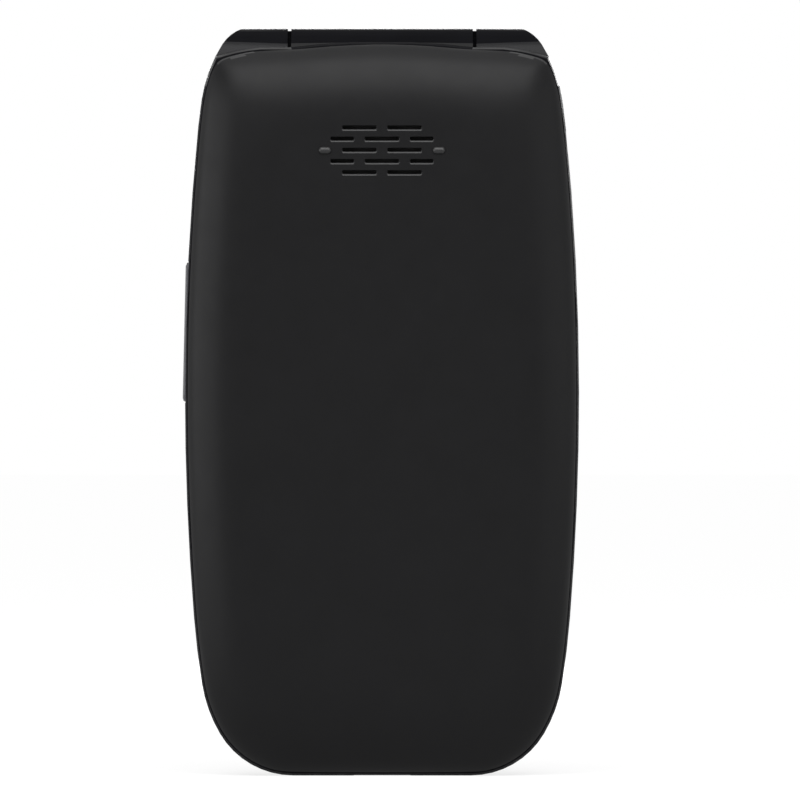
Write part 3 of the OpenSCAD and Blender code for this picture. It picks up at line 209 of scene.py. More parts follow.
FINISHES = {
    # Polyurethane soft-touch lacquer on ABS: matt and rubbery, with a fine sprayed grain. The real grain is
    # about 0.05 mm, drawn three times as coarse so that it shows.
    "soft_touch_lacquer": Recipe("soft_touch", "cover", 0.36, (0.006, Grain(0.16)), 0.118,
        tint=(1.12, Grain(9, 3)), gloss=(0.33, 0.39, Grain(2.5, 4))),
    # Soft-touch lacquer on small edges, rubbed smooth by handling
    "rubbed_lacquer": Recipe("soft_touch", "cover", 0.4, (0.002, Grain(0.16)), 0.4,
        gloss=(0.36, 0.45, Grain(0.5))),
    # ABS from a coarsely spark-eroded mould: black and all but dull
    "sparked_abs": Recipe("satin_black", "housing", 0.5, (0.005, Grain(0.14)), 0.015,
        tint=(1.15, Grain(7, 3)), gloss=(0.44, 0.56, Grain(1.5, 3))),
    # ABS of the hinge barrel, smooth from its slides in the mould, with hardly any gloss
    "barrel_abs": Recipe("satin_black", "housing", 0.26, (0.001, Grain(0.3)), 0.002,
        tint=(1.15, Grain(7, 3))),
    # Painted shade: a dull near-black, darker than the housings, on the moulded collars at the bottom of the
    # grooves and on the sides of the knuckle gaps, where the gaps are in shade
    "collar_black": Recipe("satin_black", "#060607", 0.8, (0.003, Grain(0.2)), 0,
        tint=("#0a0a0b", Grain(0.5))),
    # ABS from a spark-eroded mould: black, with a satin sheen over a tight grain
    "satin_abs": Recipe("satin_black", "housing", 0.4, (0.004, Grain(0.12)), 0.22,
        tint=(1.15, Grain(7, 3)), gloss=(0.36, 0.44, Grain(1.5, 3))),
    # Polycarbonate under a clear gloss lacquer: deep black, with soft reflections and a faint ripple
    "gloss_lacquer": Recipe("lid_gloss", "lid", 0.24, (0.002, Grain(3.5, 1)), 0.1,
        tint=(1.3, Grain(14)), gloss=(0.2, 0.28, Grain(5, 3))),
    # Vacuum-metallised ABS: a grey mirror softened by a brushed lacquer
    "metallised_plastic": Recipe("ring_metal", "#9a9ca0", 0.3, (0.001, Grain(0.1, 2, (20, 1, 1))),
        metallic=1, gloss=(0.22, 0.36, Grain(0.25, 3, (12, 1, 1)))),
    # Grey moulded polycarbonate: smooth, and brighter than the soft-touch lacquer beside it
    "rocker_plastic": Recipe("rocker_grey", "rocker", 0.34, (0.003, Grain(0.15)), 0.35,
        tint=(1.15, Grain(3))),
    # Polyester film shrunk round the cell: smooth, with slow ripples
    "shrink_film": Recipe("battery_wrap", "battery", 0.32, (0.012, Grain(2.5, 2, (1, 1, 4))),
        tint=(1.2, Grain(12)), gloss=(0.26, 0.4, Grain(4))),
    # Nickel-plated sheet steel from a press: bright, with fine rolling lines
    "stamped_steel": Recipe("steel", "#c3c4c6", 0.28, (0.0015, Grain(0.12, 2, (1, 1, 20))), metallic=1,
        tint=("#aeb0b3", Grain(2)), gloss=(0.2, 0.36, Grain(0.3, 3, (1, 1, 14)))),
    # Green solder mask over copper: glossy, darker between the tracks
    "solder_mask": Recipe("board", "#1d5238", 0.25, (0.01, Grain(0.5, 2, (3, 1, 1))),
        tint=("#123a27", Grain(0.9, 4, (3, 1, 1)))),
    # Hard-coated acrylic, printed black behind: a deep, even gloss
    "window_glass": Recipe("screen_glass", "#08080a", 0.06, (0.001, Grain(9, 1)), 0.4,
        gloss=(0.05, 0.09, Grain(20))),
    # A switched-off liquid-crystal display behind its window: blue-black and a little milky
    "dark_display": Recipe("screen_glass", "#15171c", 0.1, (0.001, Grain(9, 1)), 0.45,
        tint=("#101216", Grain(30, 1))),
    # Translucent grey silicone: waxy, with light passing a little way in
    "silicone_rubber": Recipe("silicone", "#6a6d71", 0.5, (0.005, Grain(0.4)), tint=("#7a7d80", Grain(3)),
        other_sockets={"Subsurface Weight": 0.2, "Subsurface Scale": 1 * MM}),
    # Moulded thermoplastic rubber: matt black and slightly bloomed
    "black_rubber": Recipe("rubber_black", "#161617", 0.75, (0.006, Grain(0.15)),
        tint=("#222223", Grain(0.8, 3))),
    # Polyimide flex cable: amber, with darker copper tracks along it, drawn twice as far apart as real ones
    # so that they show
    "polyimide_film": Recipe("flex_amber", "#b8702c", 0.28, (0.015, Bands(0.7895)),
        tint=("#7d4518", Bands(0.7895)), spread=(0.4, 0.6)),
    # Clear polyester carrier with pressed metal domes: pale and glossy
    "polyester_film": Recipe("silicone", "#c9ccce", 0.2, (0.006, Grain(0.8)), tint=("#b7babd", Grain(2))),
    # Copper antenna pattern plated on plastic: warm and half bright
    "antenna_copper": Recipe("contact_gold", "#c8894f", 0.35, (0.004, Grain(0.3)), metallic=1,
        gloss=(0.28, 0.45, Grain(0.5, 3))),
    # Coated camera lens: black, with a violet cast from its coating
    "lens_glass": Recipe(
        "screen_glass", "#0a0a10", 0.03, (0.0005, Grain(6, 1)), gloss=(0.02, 0.05, Grain(4, 1)),
        other_sockets={"Coat Weight": 1, "Coat Roughness": 0.01, "Coat Tint": (*linear("#b9b4e6"), 1)}),
}
# Pad-printed ink on the keys: flat and slightly uneven
for ink in ("legend", "call", "end"):
    FINISHES[f"ink_{ink}"] = Recipe("key_plastic", ink, 0.5, (0.002, Grain(0.1, 1)), tint=(0.9, Grain(0.6)))

# Part of a noise's range in which the roughness changes
GLOSS_SPREAD = (0.3, 0.7)
# A wave texture of scale 1 has one band in this length
WAVE_PERIOD = math.pi / 10


def add_node(tree, kind, settings=None, links=None):
    """Adds a node with its properties or input values, and links its inputs."""
    made = tree.nodes.new(kind)
    for name, value in (settings or {}).items():
        if isinstance(name, str) and hasattr(made, name):
            setattr(made, name, value)
        else:
            made.inputs[name].default_value = value
    for name, source in (links or {}).items():
        tree.links.new(source, made.inputs[name])
    return made


def colour_of(code):
    """The linear colour of a hex value, or of a name in Finishes."""
    return linear(code) if code.startswith("#") else tuple(getattr(bpy.context.scene.phone_finishes, code))


def emptied(owner):
    """The node tree of a new material or world, without its first nodes."""
    owner.use_nodes = True
    owner.node_tree.nodes.clear()
    return owner.node_tree


def drawn(tree, place, pattern):
    """The output of a pattern on Object coordinates."""
    if isinstance(pattern, Bands):
        settings = {"bands_direction": "X", "Scale": WAVE_PERIOD / (pattern.pitch * MM)}
        return add_node(tree, "ShaderNodeTexWave", settings, {"Vector": place}).outputs["Fac"]
    squeeze = {"Scale": tuple(1 / s for s in pattern.stretch)}
    squeezed = add_node(tree, "ShaderNodeMapping", squeeze, {"Vector": place}).outputs["Vector"]
    settings = {"Scale": 1 / (pattern.size * MM), "Detail": pattern.detail}
    return add_node(tree, "ShaderNodeTexNoise", settings, {"Vector": squeezed}).outputs["Fac"]


def made_finish(name, recipe):
    """Makes the material of a finish: one shader with its patterns on Object coordinates."""
    material = bpy.data.materials.new(name)
    tree = emptied(material)
    place = add_node(tree, "ShaderNodeTexCoord").outputs["Object"]
    links = {}
    base = colour_of(recipe.colour)
    if recipe.tint:
        other, pattern = recipe.tint
        other = colour_of(other) if isinstance(other, str) else tuple(c * other for c in base)
        share = add_node(tree, "ShaderNodeMapRange", dict(zip(("From Min", "From Max"), recipe.spread)),
                         {"Value": drawn(tree, place, pattern)}).outputs["Result"]
        colours = {"data_type": "RGBA", 6: (*base, 1), 7: (*other, 1)}
        links["Base Color"] = add_node(tree, "ShaderNodeMix", colours, {0: share}).outputs[2]
    if recipe.gloss:
        *ends, pattern = recipe.gloss
        settings = dict(zip(("From Min", "From Max", "To Min", "To Max"), (*GLOSS_SPREAD, *ends)))
        links["Roughness"] = add_node(tree, "ShaderNodeMapRange", settings,
                                      {"Value": drawn(tree, place, pattern)}).outputs["Result"]
    depth, pattern = recipe.relief
    links["Normal"] = add_node(tree, "ShaderNodeBump", {"Strength": 1.0, "Distance": depth * MM},
                               {"Height": drawn(tree, place, pattern)}).outputs["Normal"]
    shader = add_node(tree, "ShaderNodeBsdfPrincipled", {
        "Base Color": (*base, 1), "Roughness": recipe.roughness, "Metallic": recipe.metallic,
        "Specular IOR Level": recipe.specular, **recipe.other_sockets}, links)
    add_node(tree, "ShaderNodeOutputMaterial", links={"Surface": shader.outputs["BSDF"]})
    return material


def finish(name):
    """The material of a finish, made once, or one of the record's slots as it is: key_plastic,
    moulded_black, contact_gold or speaker_cloth."""
    return bpy.data.materials.get(name) or made_finish(name, FINISHES[name])


# ---------------------------------------------------------------- mesh tools

def of_kind(geometry, kind):
    """The vertices, edges or faces in what an operator returned."""
    return [part for part in geometry if isinstance(part, kind)]


def shade(bm):
    """Smooth faces, with creases between materials and where faces meet at more than the crease angle."""
    for face in bm.faces:
        face.smooth = True
    for edge in bm.edges:
        edge.smooth = (len(edge.link_faces) == 2 and edge.calc_face_angle(0) < CREASE
                       and edge.link_faces[0].material_index == edge.link_faces[1].material_index)


def closed(bm):
    """Merges doubles, caps what is open and turns every face outwards."""
    bmesh.ops.remove_doubles(bm, verts=bm.verts, dist=MERGE)
    bmesh.ops.holes_fill(bm, edges=[e for e in bm.edges if e.is_boundary])
    bmesh.ops.recalc_face_normals(bm, faces=bm.faces)


def flattened(bm):
    """Joins the faces that lie in one plane."""
    bmesh.ops.dissolve_limit(bm, angle_limit=FLAT, verts=bm.verts, edges=bm.edges)


def sharp_edges(bm, angle, level=None):
    """The edges whose faces meet at more than an angle, everywhere or at one level of Y."""
    return [e for e in bm.edges if e.is_manifold and e.calc_face_angle(0) > angle
            and (level is None or all(abs(v.co.y - level) < MERGE for v in e.verts))]


def rounded_edges(bm, edges, offset, segments=2):
    """Bevels edges with a round profile."""
    bmesh.ops.bevel(bm, geom=edges, offset=offset, offset_type="OFFSET", segments=segments, profile=0.5,
                    affect="EDGES", clamp_overlap=True, material=-1)


def scaled(bm, verts, factors, x=0, z=0):
    """Scales vertices along X and Z about a point."""
    bmesh.ops.scale(bm, vec=(factors[0], 1, factors[1]), space=Matrix.Translation((-x, 0, -z)), verts=verts)


def plain_object(name, bm):
    """An object with the mesh of a bmesh, which it uses up."""
    mesh = bpy.data.meshes.new(name)
    bm.to_mesh(mesh)
    bm.free()
    made = bpy.data.objects.new(name, mesh)
    bpy.context.scene.collection.objects.link(made)
    return made


def as_piece(name, bm, finishes, node, weighted=True):
    """Turns a bmesh into a finished piece that stands for a CAD node and rides on its body."""
    shade(bm)
    piece = plain_object(name, bm)
    for made in finishes:
        piece.data.materials.append(finish(made))
    if weighted:
        modifier = piece.modifiers.new("even_normals", "WEIGHTED_NORMAL")
        modifier.keep_sharp = True
    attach(piece, BODY_OF[node])
    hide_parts(node)
    return piece


def cad_copy(node):
    """A merged copy of a CAD node's mesh, with its flat faces joined."""
    bm = bmesh.new()
    bm.from_mesh(frame["nodes"][node].data)
    bmesh.ops.remove_doubles(bm, verts=bm.verts, dist=MERGE)
    flattened(bm)
    return bm


def dressed(node, made, soft, segments=2):
    """A CAD node's own shape in a finish, with its edges softened by a radius in millimetres."""
    bm = cad_copy(node)
    crisp = sharp_edges(bm, CREASE)
    if crisp:
        rounded_edges(bm, crisp, soft * MM, segments)
    return as_piece(f"{node}_finished", bm, [made], node)


def dress_all(rows):
    """Dresses nodes, each given with its finish and the radius of its edges."""
    for node, made, soft in rows:
        dressed(node, made, soft)


def carved(piece, tool, operation):
    """Cuts one object's mesh with another's, or joins them, and removes both objects."""
    modifier = piece.modifiers.new("carve", "BOOLEAN")
    modifier.object = tool
    modifier.operation = operation
    modifier.solver = "EXACT"
    modifier.use_self = True
    bm = bmesh.new()
    bm.from_object(piece, bpy.context.evaluated_depsgraph_get())
    bpy.data.objects.remove(piece)
    bpy.data.objects.remove(tool)
    return bm


def rounded_face(bm, width, height, corner, middle, segments=6):
    """A rounded rectangle that faces along Y."""
    corners = [(x * width / 2, 0, z * height / 2) for x, z in ((-1, -1), (1, -1), (1, 1), (-1, 1))]
    verts = [bm.verts.new(Vector(middle) + Vector(c)) for c in corners]
    bm.faces.new(verts)
    made = bmesh.ops.bevel(bm, geom=verts, offset=corner, offset_type="OFFSET", segments=segments,
                           profile=0.5, affect="VERTICES", clamp_overlap=False, material=-1)
    return made["verts"][0].link_faces[0]


def raised(bm, face, step):
    """Extrudes a face by a step and returns the new end."""
    made = bmesh.ops.extrude_face_region(bm, geom=[face, *face.edges, *face.verts])["geom"]
    bmesh.ops.translate(bm, vec=step, verts=of_kind(made, bmesh.types.BMVert))
    return of_kind(made, bmesh.types.BMFace)[0]


def narrowed(bm, face, step, factors, middle):
    """Extrudes a face along Y and scales the new end about the middle."""
    face = raised(bm, face, (0, step, 0))
    scaled(bm, face.verts[:], factors, middle[0], middle[2])
    return face


def eased(bm, verts, times):
    """Rounds the corners of a row of vertices in its own plane."""
    for _ in range(times):
        bmesh.ops.smooth_vert(bm, verts=verts, factor=0.5, use_axis_x=True, use_axis_z=True)


def stepped(bm, edges, factors, middle, shift, times=0):
    """Extrudes a closed row of edges, eases its corners, scales it about a height and moves it along Y."""
    made = bmesh.ops.extrude_edge_only(bm, edges=edges)["geom"]
    verts = of_kind(made, bmesh.types.BMVert)
    fresh = set(verts)
    eased(bm, verts, times)
    scaled(bm, verts, factors, z=middle)
    bmesh.ops.translate(bm, vec=(0, shift, 0), verts=verts)
    return [e for e in of_kind(made, bmesh.types.BMEdge) if fresh.issuperset(e.verts)]


def joined(bm, tip, point):
    """A new vertex at the end of a row."""
    made = bm.verts.new(point)
    bm.edges.new((tip, made))
    return made


def ramp(value, low, high):
    """Nought up to a low value, one from a high value on, and between them in proportion."""
    return min(1, max(0, (value - low) / (high - low)))


# ---------------------------------------------------------------- battery cover

# Outline of the phone: radius in millimetres and sweep in degrees of each arc, from the widest point
# up to the hinge barrel and down to the foot
HALF_WIDTH = 27.4
UPPER_ARCS = ((373, 5.7), (75, 2.9), (20.6, 23.2), (5.7, 36.1))
LOWER_ARCS = ((389, 4.6), (119, 4.5), (19.9, 21.4), (11.8, 59.5))
# How far the outline's straight edges may stray from its arcs, in millimetres
ARC_TOLERANCE = 0.004
CORNER_STEPS = 12
# The bend of a falling corner: how far in, as a share of the corner's width, and how far above its start
CORNER_BEND = (-0.39, 1 * MM)
# Steps round the rolled edge outside and inside, and how often each ring and the seam are eased
ROLL_STEPS = 22
INNER_STEPS = 12
ROLL_EASING = 8
SEAM_EASING = 4
# Size of the ring inside the last one of the roll, as a share of it
FLAT_RING = (0.99, 0.995)
# Radius of the shell's edge along the seam
SEAM_SOFT = 0.1 * MM
# Corner radius of a slot and of a bump, as a share of its height
SLOT_ROUND = 0.4
BUMP_ROUND = 0.48
BUMP_STEPS = 5
# How much of a bump's height its outline loses up to its top
BUMP_TAPER = 0.9
# A slot's lip, as shares of its width: its depth, the depth and growth of each step outwards, and the
# growth past the back
LIP_DEPTH = 0.8
LIP_STEPS = ((0.5, 0.4), (0.3, 0.6))
LIP_GROWTH_PAST = 0.3
# How many walls deep a slot's cutter starts, how far it reaches past the cover's back, and a bump's root
# into it
CUTTER_WALLS = 1.5
PAST_BACK = 0.1 * MM
BUMP_ROOT = 0.3 * MM
# Width of the band along the seam with the barrel's finish, in degrees round the roll, and how much wider
# it is at the upper corners
SEAM_BAND = 2
CORNER_BAND = 5
# Where the rubbed upper corners begin and are full, from the middle and below the upper edge
CORNER_X = (17.5 * MM, 20 * MM)
CORNER_Z = (2.3 * MM, 1.3 * MM)
# Height of the rubbed line below the upper edge
CROWN_BAND = 0.2 * MM


def half_outline(bm):
    """Spins a vertex round the outline's arcs, both ways from the widest point of the right side."""
    start = bm.verts.new((HALF_WIDTH, 0, 0))
    for arcs, way in ((UPPER_ARCS, 1), (LOWER_ARCS, -1)):
        tip = start
        heading = 0.0
        for radius, sweep in arcs:
            towards = Vector((math.cos(heading), 0, way * math.sin(heading)))
            steps = math.ceil(math.radians(sweep) / (2 * math.acos(1 - ARC_TOLERANCE / radius)))
            made = bmesh.ops.spin(bm, geom=[tip], cent=tip.co - radius * towards, axis=(0, -way, 0),
                                  angle=math.radians(sweep), steps=steps)
            tip = of_kind(made["geom_last"], bmesh.types.BMVert)[0]
            heading += math.radians(sweep)


def base_outline(bm, cover):
    """The base's outline: the phone's own up to its corners, which fall away, and a crowned upper edge."""
    half_outline(bm)
    heights = [v.co.z for v in bm.verts]
    low, high = BOXES["lid_cover"]
    width = high.x - low.x
    tall = high.z - low.z
    bmesh.ops.translate(bm, vec=(0, 0, -min(heights)), verts=bm.verts)
    scaled(bm, bm.verts[:], (width / 2 / HALF_WIDTH, tall / (max(heights) - min(heights))))
    corner = tall - cover.corner_drop
    edge = tall - cover.top_drop
    bmesh.ops.delete(bm, geom=[v for v in bm.verts if v.co.z > corner], context="VERTS")
    tips = [v for v in bm.verts if len(v.link_edges) == 1]
    foot, tip = sorted(tips, key=lambda v: v.co.z)
    # A falling corner is a curve of three points: its start, the bend that it is drawn to, and its end
    start = tip.co.copy()
    bend = start + Vector((CORNER_BEND[0] * cover.corner_width, 0, CORNER_BEND[1]))
    end = Vector((start.x - cover.corner_width, 0, edge))
    for k in range(1, CORNER_STEPS + 1):
        t = k / CORNER_STEPS
        tip = joined(bm, tip, (1 - t) ** 2 * start + 2 * t * (1 - t) * bend + t * t * end)
    knuckle = cover.knuckle / 2
    for k in range(CORNER_STEPS + 1):
        share = 1 - k / CORNER_STEPS
        tip = joined(bm, tip, (knuckle * share, 0, edge + cover.crown * (1 - share * share)))
    joined(bm, foot, (0, 0, foot.co.z))
    bmesh.ops.mirror(bm, geom=bm.verts[:] + bm.edges[:], axis="X", merge_dist=MERGE)
    return edge


def cover_shell(cover, back):
    """The rolled shell: rings from the seam to the flat back, outside and then inside."""
    bm = bmesh.new()
    top = base_outline(bm, cover)
    half_w = BOXES["rear_housing"][1].x

    def place(turn, under):
        sides = cover.side_roll * (1 - math.sin(turn)) + under * math.sin(turn)
        ends = cover.end_roll * (1 - math.sin(turn)) + under * math.sin(turn)
        depth = back + cover.roll_depth * (1 - math.cos(turn)) + under * math.cos(turn)
        return 1 - sides / half_w, 1 - ends / (top / 2), depth

    def roll(edges, at, turns, under):
        for turn in turns:
            to = place(turn, under)
            edges = stepped(bm, edges, (to[0] / at[0], to[1] / at[1]), top / 2, to[2] - at[2], ROLL_EASING)
            at = to
        # One more ring just inside the last keeps the flat face's corners off the roll
        inner = stepped(bm, edges, FLAT_RING, top / 2, 0)
        bmesh.ops.contextual_create(bm, geom=inner)

    first = place(cover.seam_angle, 0)
    seam = bm.edges[:]
    eased(bm, bm.verts[:], SEAM_EASING)
    scaled(bm, bm.verts[:], first, z=top / 2)
    bmesh.ops.translate(bm, vec=(0, first[2], 0), verts=bm.verts)
    roll(seam, first, [cover.seam_angle * (1 - k / ROLL_STEPS) for k in range(1, ROLL_STEPS + 1)], 0)
    inside = math.acos(cover.roll_depth * math.cos(cover.seam_angle) / (cover.roll_depth - cover.wall))
    roll(seam, first, [inside * (1 - k / INNER_STEPS) for k in range(INNER_STEPS + 1)], cover.wall)
    bmesh.ops.recalc_face_normals(bm, faces=bm.faces)
    rounded_edges(bm, seam, SEAM_SOFT)
    return bm


def slot_tool(bm, grille, x, z, run, back, wall):
    """A slot's cutter: through the wall at less than its height, sloping down to the full height outside."""
    lip = grille.lip
    height = grille.slot_height - lip
    inside = wall * CUTTER_WALLS
    face = rounded_face(bm, run - lip, height, height * SLOT_ROUND, (x, back + inside, z + lip / 2), 5)
    face = raised(bm, face, (0, -inside + lip * LIP_DEPTH, 0))
    upper = (x, 0, z + grille.slot_height / 2)
    steps = [(lip * down, lip * growth) for down, growth in LIP_STEPS]
    for depth, drop in (*steps, (PAST_BACK, lip * LIP_GROWTH_PAST)):
        factors = (1 + drop / run, 1 + drop / height)
        face = narrowed(bm, face, -depth, factors, upper)
        height += drop


def slots(grille):
    """Place and length of each slot: two long ones in the odd rows, a long and two short in the even."""
    short_x = grille.slot_pitch + (grille.short_length - grille.slot_length) / 2
    for row in range(-2, 3):
        z = grille.height + row * grille.row_pitch
        if row % 2:
            yield 0, z, grille.slot_length
            yield -short_x, z, grille.short_length
            yield short_x, z, grille.short_length
        else:
            yield -grille.slot_pitch / 2, z, grille.slot_length
            yield grille.slot_pitch / 2, z, grille.slot_length


def bump_dome(bm, grille, side, back):
    """An oval bump: a rounded outline raised in steps along a quarter ellipse."""
    middle = (side * grille.bump_place, back + BUMP_ROOT, grille.height)
    face = rounded_face(bm, grille.bump_length, grille.bump_height, grille.bump_height * BUMP_ROUND,
                        middle, 6)
    face = raised(bm, face, (0, -BUMP_ROOT, 0))
    straight = grille.bump_length - grille.bump_height
    for k in range(BUMP_STEPS):
        turns = [math.pi / 2 * (k + i) / BUMP_STEPS for i in (0, 1)]
        lift = [grille.bump_rise * math.sin(turn) for turn in turns]
        width = [grille.bump_height * (1 - BUMP_TAPER * (1 - math.cos(turn))) for turn in turns]
        factors = ((straight + width[1]) / (straight + width[0]), width[1] / width[0])
        face = narrowed(bm, face, lift[0] - lift[1], factors, middle)


def finished_slots(bm, grille, back):
    """Gives the slots and bumps the finish of rubbed edges."""
    half_x = grille.bump_place + grille.bump_length / 2
    half_z = grille.row_pitch * 2 + grille.slot_height / 2
    for face in bm.faces:
        spot = face.calc_center_median()
        near = abs(spot.x) < half_x and abs(spot.z - grille.height) < half_z
        if near and spot.y < back + grille.lip * LIP_DEPTH and abs(spot.y - back) > MERGE:
            face.material_index = 1


def finished_seam(bm, cover, back):
    """Gives the band along the seam the barrel's finish, but its crown and upper corners that of rubbed
    edges."""
    edge = BOXES["lid_cover"][1].z - cover.top_drop
    for face in bm.faces:
        spot = face.calc_center_median()
        turn = math.acos(min(1, max(-1, 1 - (spot.y - back) / cover.roll_depth)))
        corner = ramp(abs(spot.x), *CORNER_X) * ramp(spot.z, *(edge - below for below in CORNER_Z))
        if turn > cover.seam_angle - math.radians(SEAM_BAND + CORNER_BAND * corner):
            crown = spot.z > edge - CROWN_BAND and abs(spot.x) < cover.crown_line / 2
            face.material_index = 1 if crown or corner > 0 else 2


class PHONE_OT_battery_cover(Operator):
    """Battery cover with its rolled edge, speaker grille and oval bumps"""
    bl_idname = "phone.battery_cover"
    bl_label = "Battery cover"

    def execute(self, context):
        cover = context.scene.phone_cover
        grille = context.scene.phone_grille
        back = BOXES["battery_cover"][0].y + grille.bump_rise
        shell = plain_object("cover_shell", cover_shell(cover, back))
        cutters = bmesh.new()
        for x, z, run in slots(grille):
            slot_tool(cutters, grille, x, z, run, back, cover.wall)
        closed(cutters)
        bm = carved(shell, plain_object("slot_cutters", cutters), "DIFFERENCE")
        domes = bmesh.new()
        for side in (-1, 1):
            bump_dome(domes, grille, side, back)
        closed(domes)
        bm = carved(plain_object("cover_cut", bm), plain_object("domes", domes), "UNION")
        bmesh.ops.remove_doubles(bm, verts=bm.verts, dist=MERGE)
        # The union can leave a stray face under a dome: each of its edges has two other faces
        stray = [f for f in bm.faces if all(len(e.link_faces) > 2 for e in f.edges)]
        bmesh.ops.delete(bm, geom=stray, context="FACES_ONLY")
        finished_slots(bm, grille, back)
        finished_seam(bm, cover, back)
        finishes = ["soft_touch_lacquer", "rubbed_lacquer", "barrel_abs"]
        as_piece("battery_cover_shell", bm, finishes, "battery_cover", weighted=False)
        return {"FINISHED"}


# ---------------------------------------------------------------- housings and lid

# Reach of the knuckles and of the collars between them, from the hinge line
BARREL_REACH = 5.05 * MM
COLLAR_REACH = 4.9 * MM
# Past the middle knuckle: where a collar ends, how much longer it becomes, and where its gap is over
COLLAR_END = 0.4 * MM
COLLAR_GROWTH = 0.08 * MM
GAP_END = 0.6 * MM
# The barrel's finish goes this far below the hinge line, and starts this far round it
BARREL_FOOT = 3 * MM
BARREL_START = math.radians(37.5)


def barrel_finish(piece, lower):
    """Gives the faces round the hinge line the barrel's finish, the sides of the knuckle gaps a near-black
    that is painted shade, and the ledges under the barrel another finish."""
    for made in ("barrel_abs", "collar_black", lower):
        piece.data.materials.append(finish(made))
    line = MIDDLES["hinge_pin"]
    knuckle = bpy.context.scene.phone_cover.knuckle / 2
    for vertex in piece.data.vertices:
        past = abs(vertex.co.x) - knuckle - COLLAR_END
        if abs(past) < COLLAR_GROWTH and (vertex.co.yz - line.yz).length < COLLAR_REACH:
            # The collars all but close the gaps, so that no light comes through
            vertex.co.x += math.copysign(COLLAR_GROWTH, vertex.co.x)
    for face in piece.data.polygons:
        away = (face.center.yz - line.yz).length
        # Painted shade: the collars and the sides of the knuckle gaps take a near-black, so that the gaps
        # look dark
        if knuckle - MERGE < abs(face.center.x) < knuckle + GAP_END and away < COLLAR_REACH:
            face.material_index = 2
        elif away < BARREL_REACH or face.center.z > line.z - BARREL_FOOT and face.center.y < line.y:
            up = math.atan2(face.center.z - line.z, line.y - face.center.y)
            ledge = away > BARREL_REACH and abs(face.center.x) > knuckle + GAP_END
            face.material_index = 3 if ledge or 0 < up < BARREL_START and away < BARREL_REACH else 1


class PHONE_OT_housings(Operator):
    """Rear housing and keypad housing with softened edges"""
    bl_idname = "phone.housings"
    bl_label = "Housings"

    def execute(self, context):
        barrel_finish(dressed("rear_housing", "sparked_abs", 0.06, 1), "soft_touch_lacquer")
        dressed("keypad_housing", "satin_abs", 0.08)
        return {"FINISHED"}


class PHONE_OT_lid(Operator):
    """Lid cover and lid frame with softened edges"""
    bl_idname = "phone.lid"
    bl_label = "Lid"

    def execute(self, context):
        barrel_finish(dressed("lid_cover", "gloss_lacquer", 0.06, 1), "gloss_lacquer")
        dressed("lid_frame", "satin_abs", 0.06)
        return {"FINISHED"}


class PHONE_OT_windows(Operator):
    """Display windows, displays and camera"""
    bl_idname = "phone.windows"
    bl_label = "Windows and displays"

    def execute(self, context):
        window_with_view("display_window", -1, side=3.5 * MM, end=5.5 * MM)
        window_with_view("outer_window", 1, side=3 * MM, end=4 * MM)
        dressed("camera_lens", "lens_glass", 0.25, 4)
        dress_all((("camera_module", "moulded_black", 0.15), ("main_display", "dark_display", 0.15),
                   ("outer_display", "dark_display", 0.15)))
        return {"FINISHED"}


# Radius of a window's rim, corner radius of the view inside it, and how far the view stands out
RIM_SOFT = 0.2 * MM
VIEW_CORNER = 0.6 * MM
VIEW_RISE = 0.01 * MM


def window_with_view(node, outward, side, end):
    """A window with a softened rim and the display's area showing inside its printed border."""
    low, high = BOXES[node]
    middle = MIDDLES[node]
    size = high - low
    bm = cad_copy(node)
    level = low.y if outward < 0 else high.y
    rounded_edges(bm, sharp_edges(bm, SQUARE, level), RIM_SOFT, 3)
    view = rounded_face(bm, size.x - 2 * side, size.z - 2 * end, VIEW_CORNER, (middle.x, level, middle.z))
    view = raised(bm, view, (0, outward * VIEW_RISE, 0))
    view.material_index = 1
    closed(bm)
    as_piece(f"{node}_glass", bm, ["window_glass", "dark_display"], node)


# ---------------------------------------------------------------- keys

KEYS = ["1", "2", "3", "4", "5", "6", "7", "8", "9", "star", "0", "hash"]
LETTERS = {"2": "abc", "3": "def", "4": "ghi", "5": "jkl", "6": "mno", "7": "pqrs", "8": "tuv", "9": "wxyz"}
SIGNS = {"star": "*", "hash": "#"}
# Wing keys with the colour of their signs
WINGS = {"soft_key_left": "legend", "soft_key_right": "legend", "call_key": "call", "end_key": "end"}
# From a key's middle to its digit on one side and its letters on the other
ASIDE = 1.9 * MM
# A star is drawn high in its line, so it is lowered by this
STAR_DROP = 0.7 * MM
OK_SIZE = 3.4 * MM
# Steps of a key's crowned top: share of its rise, and how much narrower each is across and along
CROWN_SHARES = (0.5, 0.3, 0.2)
CROWN_FACTORS = (0.88, 0.84)
# Sign of a handset: radii of its arc before it is pressed flat, and size and place of the pads at its ends
HANDSET_RADII = (2.3 * MM, 3 * MM)
HANDSET_FACTORS = (0.85, 0.5)
HANDSET_PAD = (1.15 * MM, 1.5 * MM, 0.3 * MM)
HANDSET_PAD_PLACE = (2.2 * MM, -0.35 * MM)
# The pads stand out by this share of the print, so that they don't share a plane with the arc
PAD_RISE = 0.9
# Sign of a soft key: length, width and corner radius of its bar
BAR = (3.4 * MM, 0.6 * MM, 0.25 * MM)
# Radius of a wing key's upper edge
WING_SOFT = 0.3 * MM
# From the phone's middle to a wing key's sign, and from the ring's middle to its arrow heads
WING_SIGN_X = 15.6 * MM
ARROW_REACH = 7.9 * MM
ARROW_HALF_WIDTH = 0.8 * MM
ARROW_LENGTH = 0.9 * MM


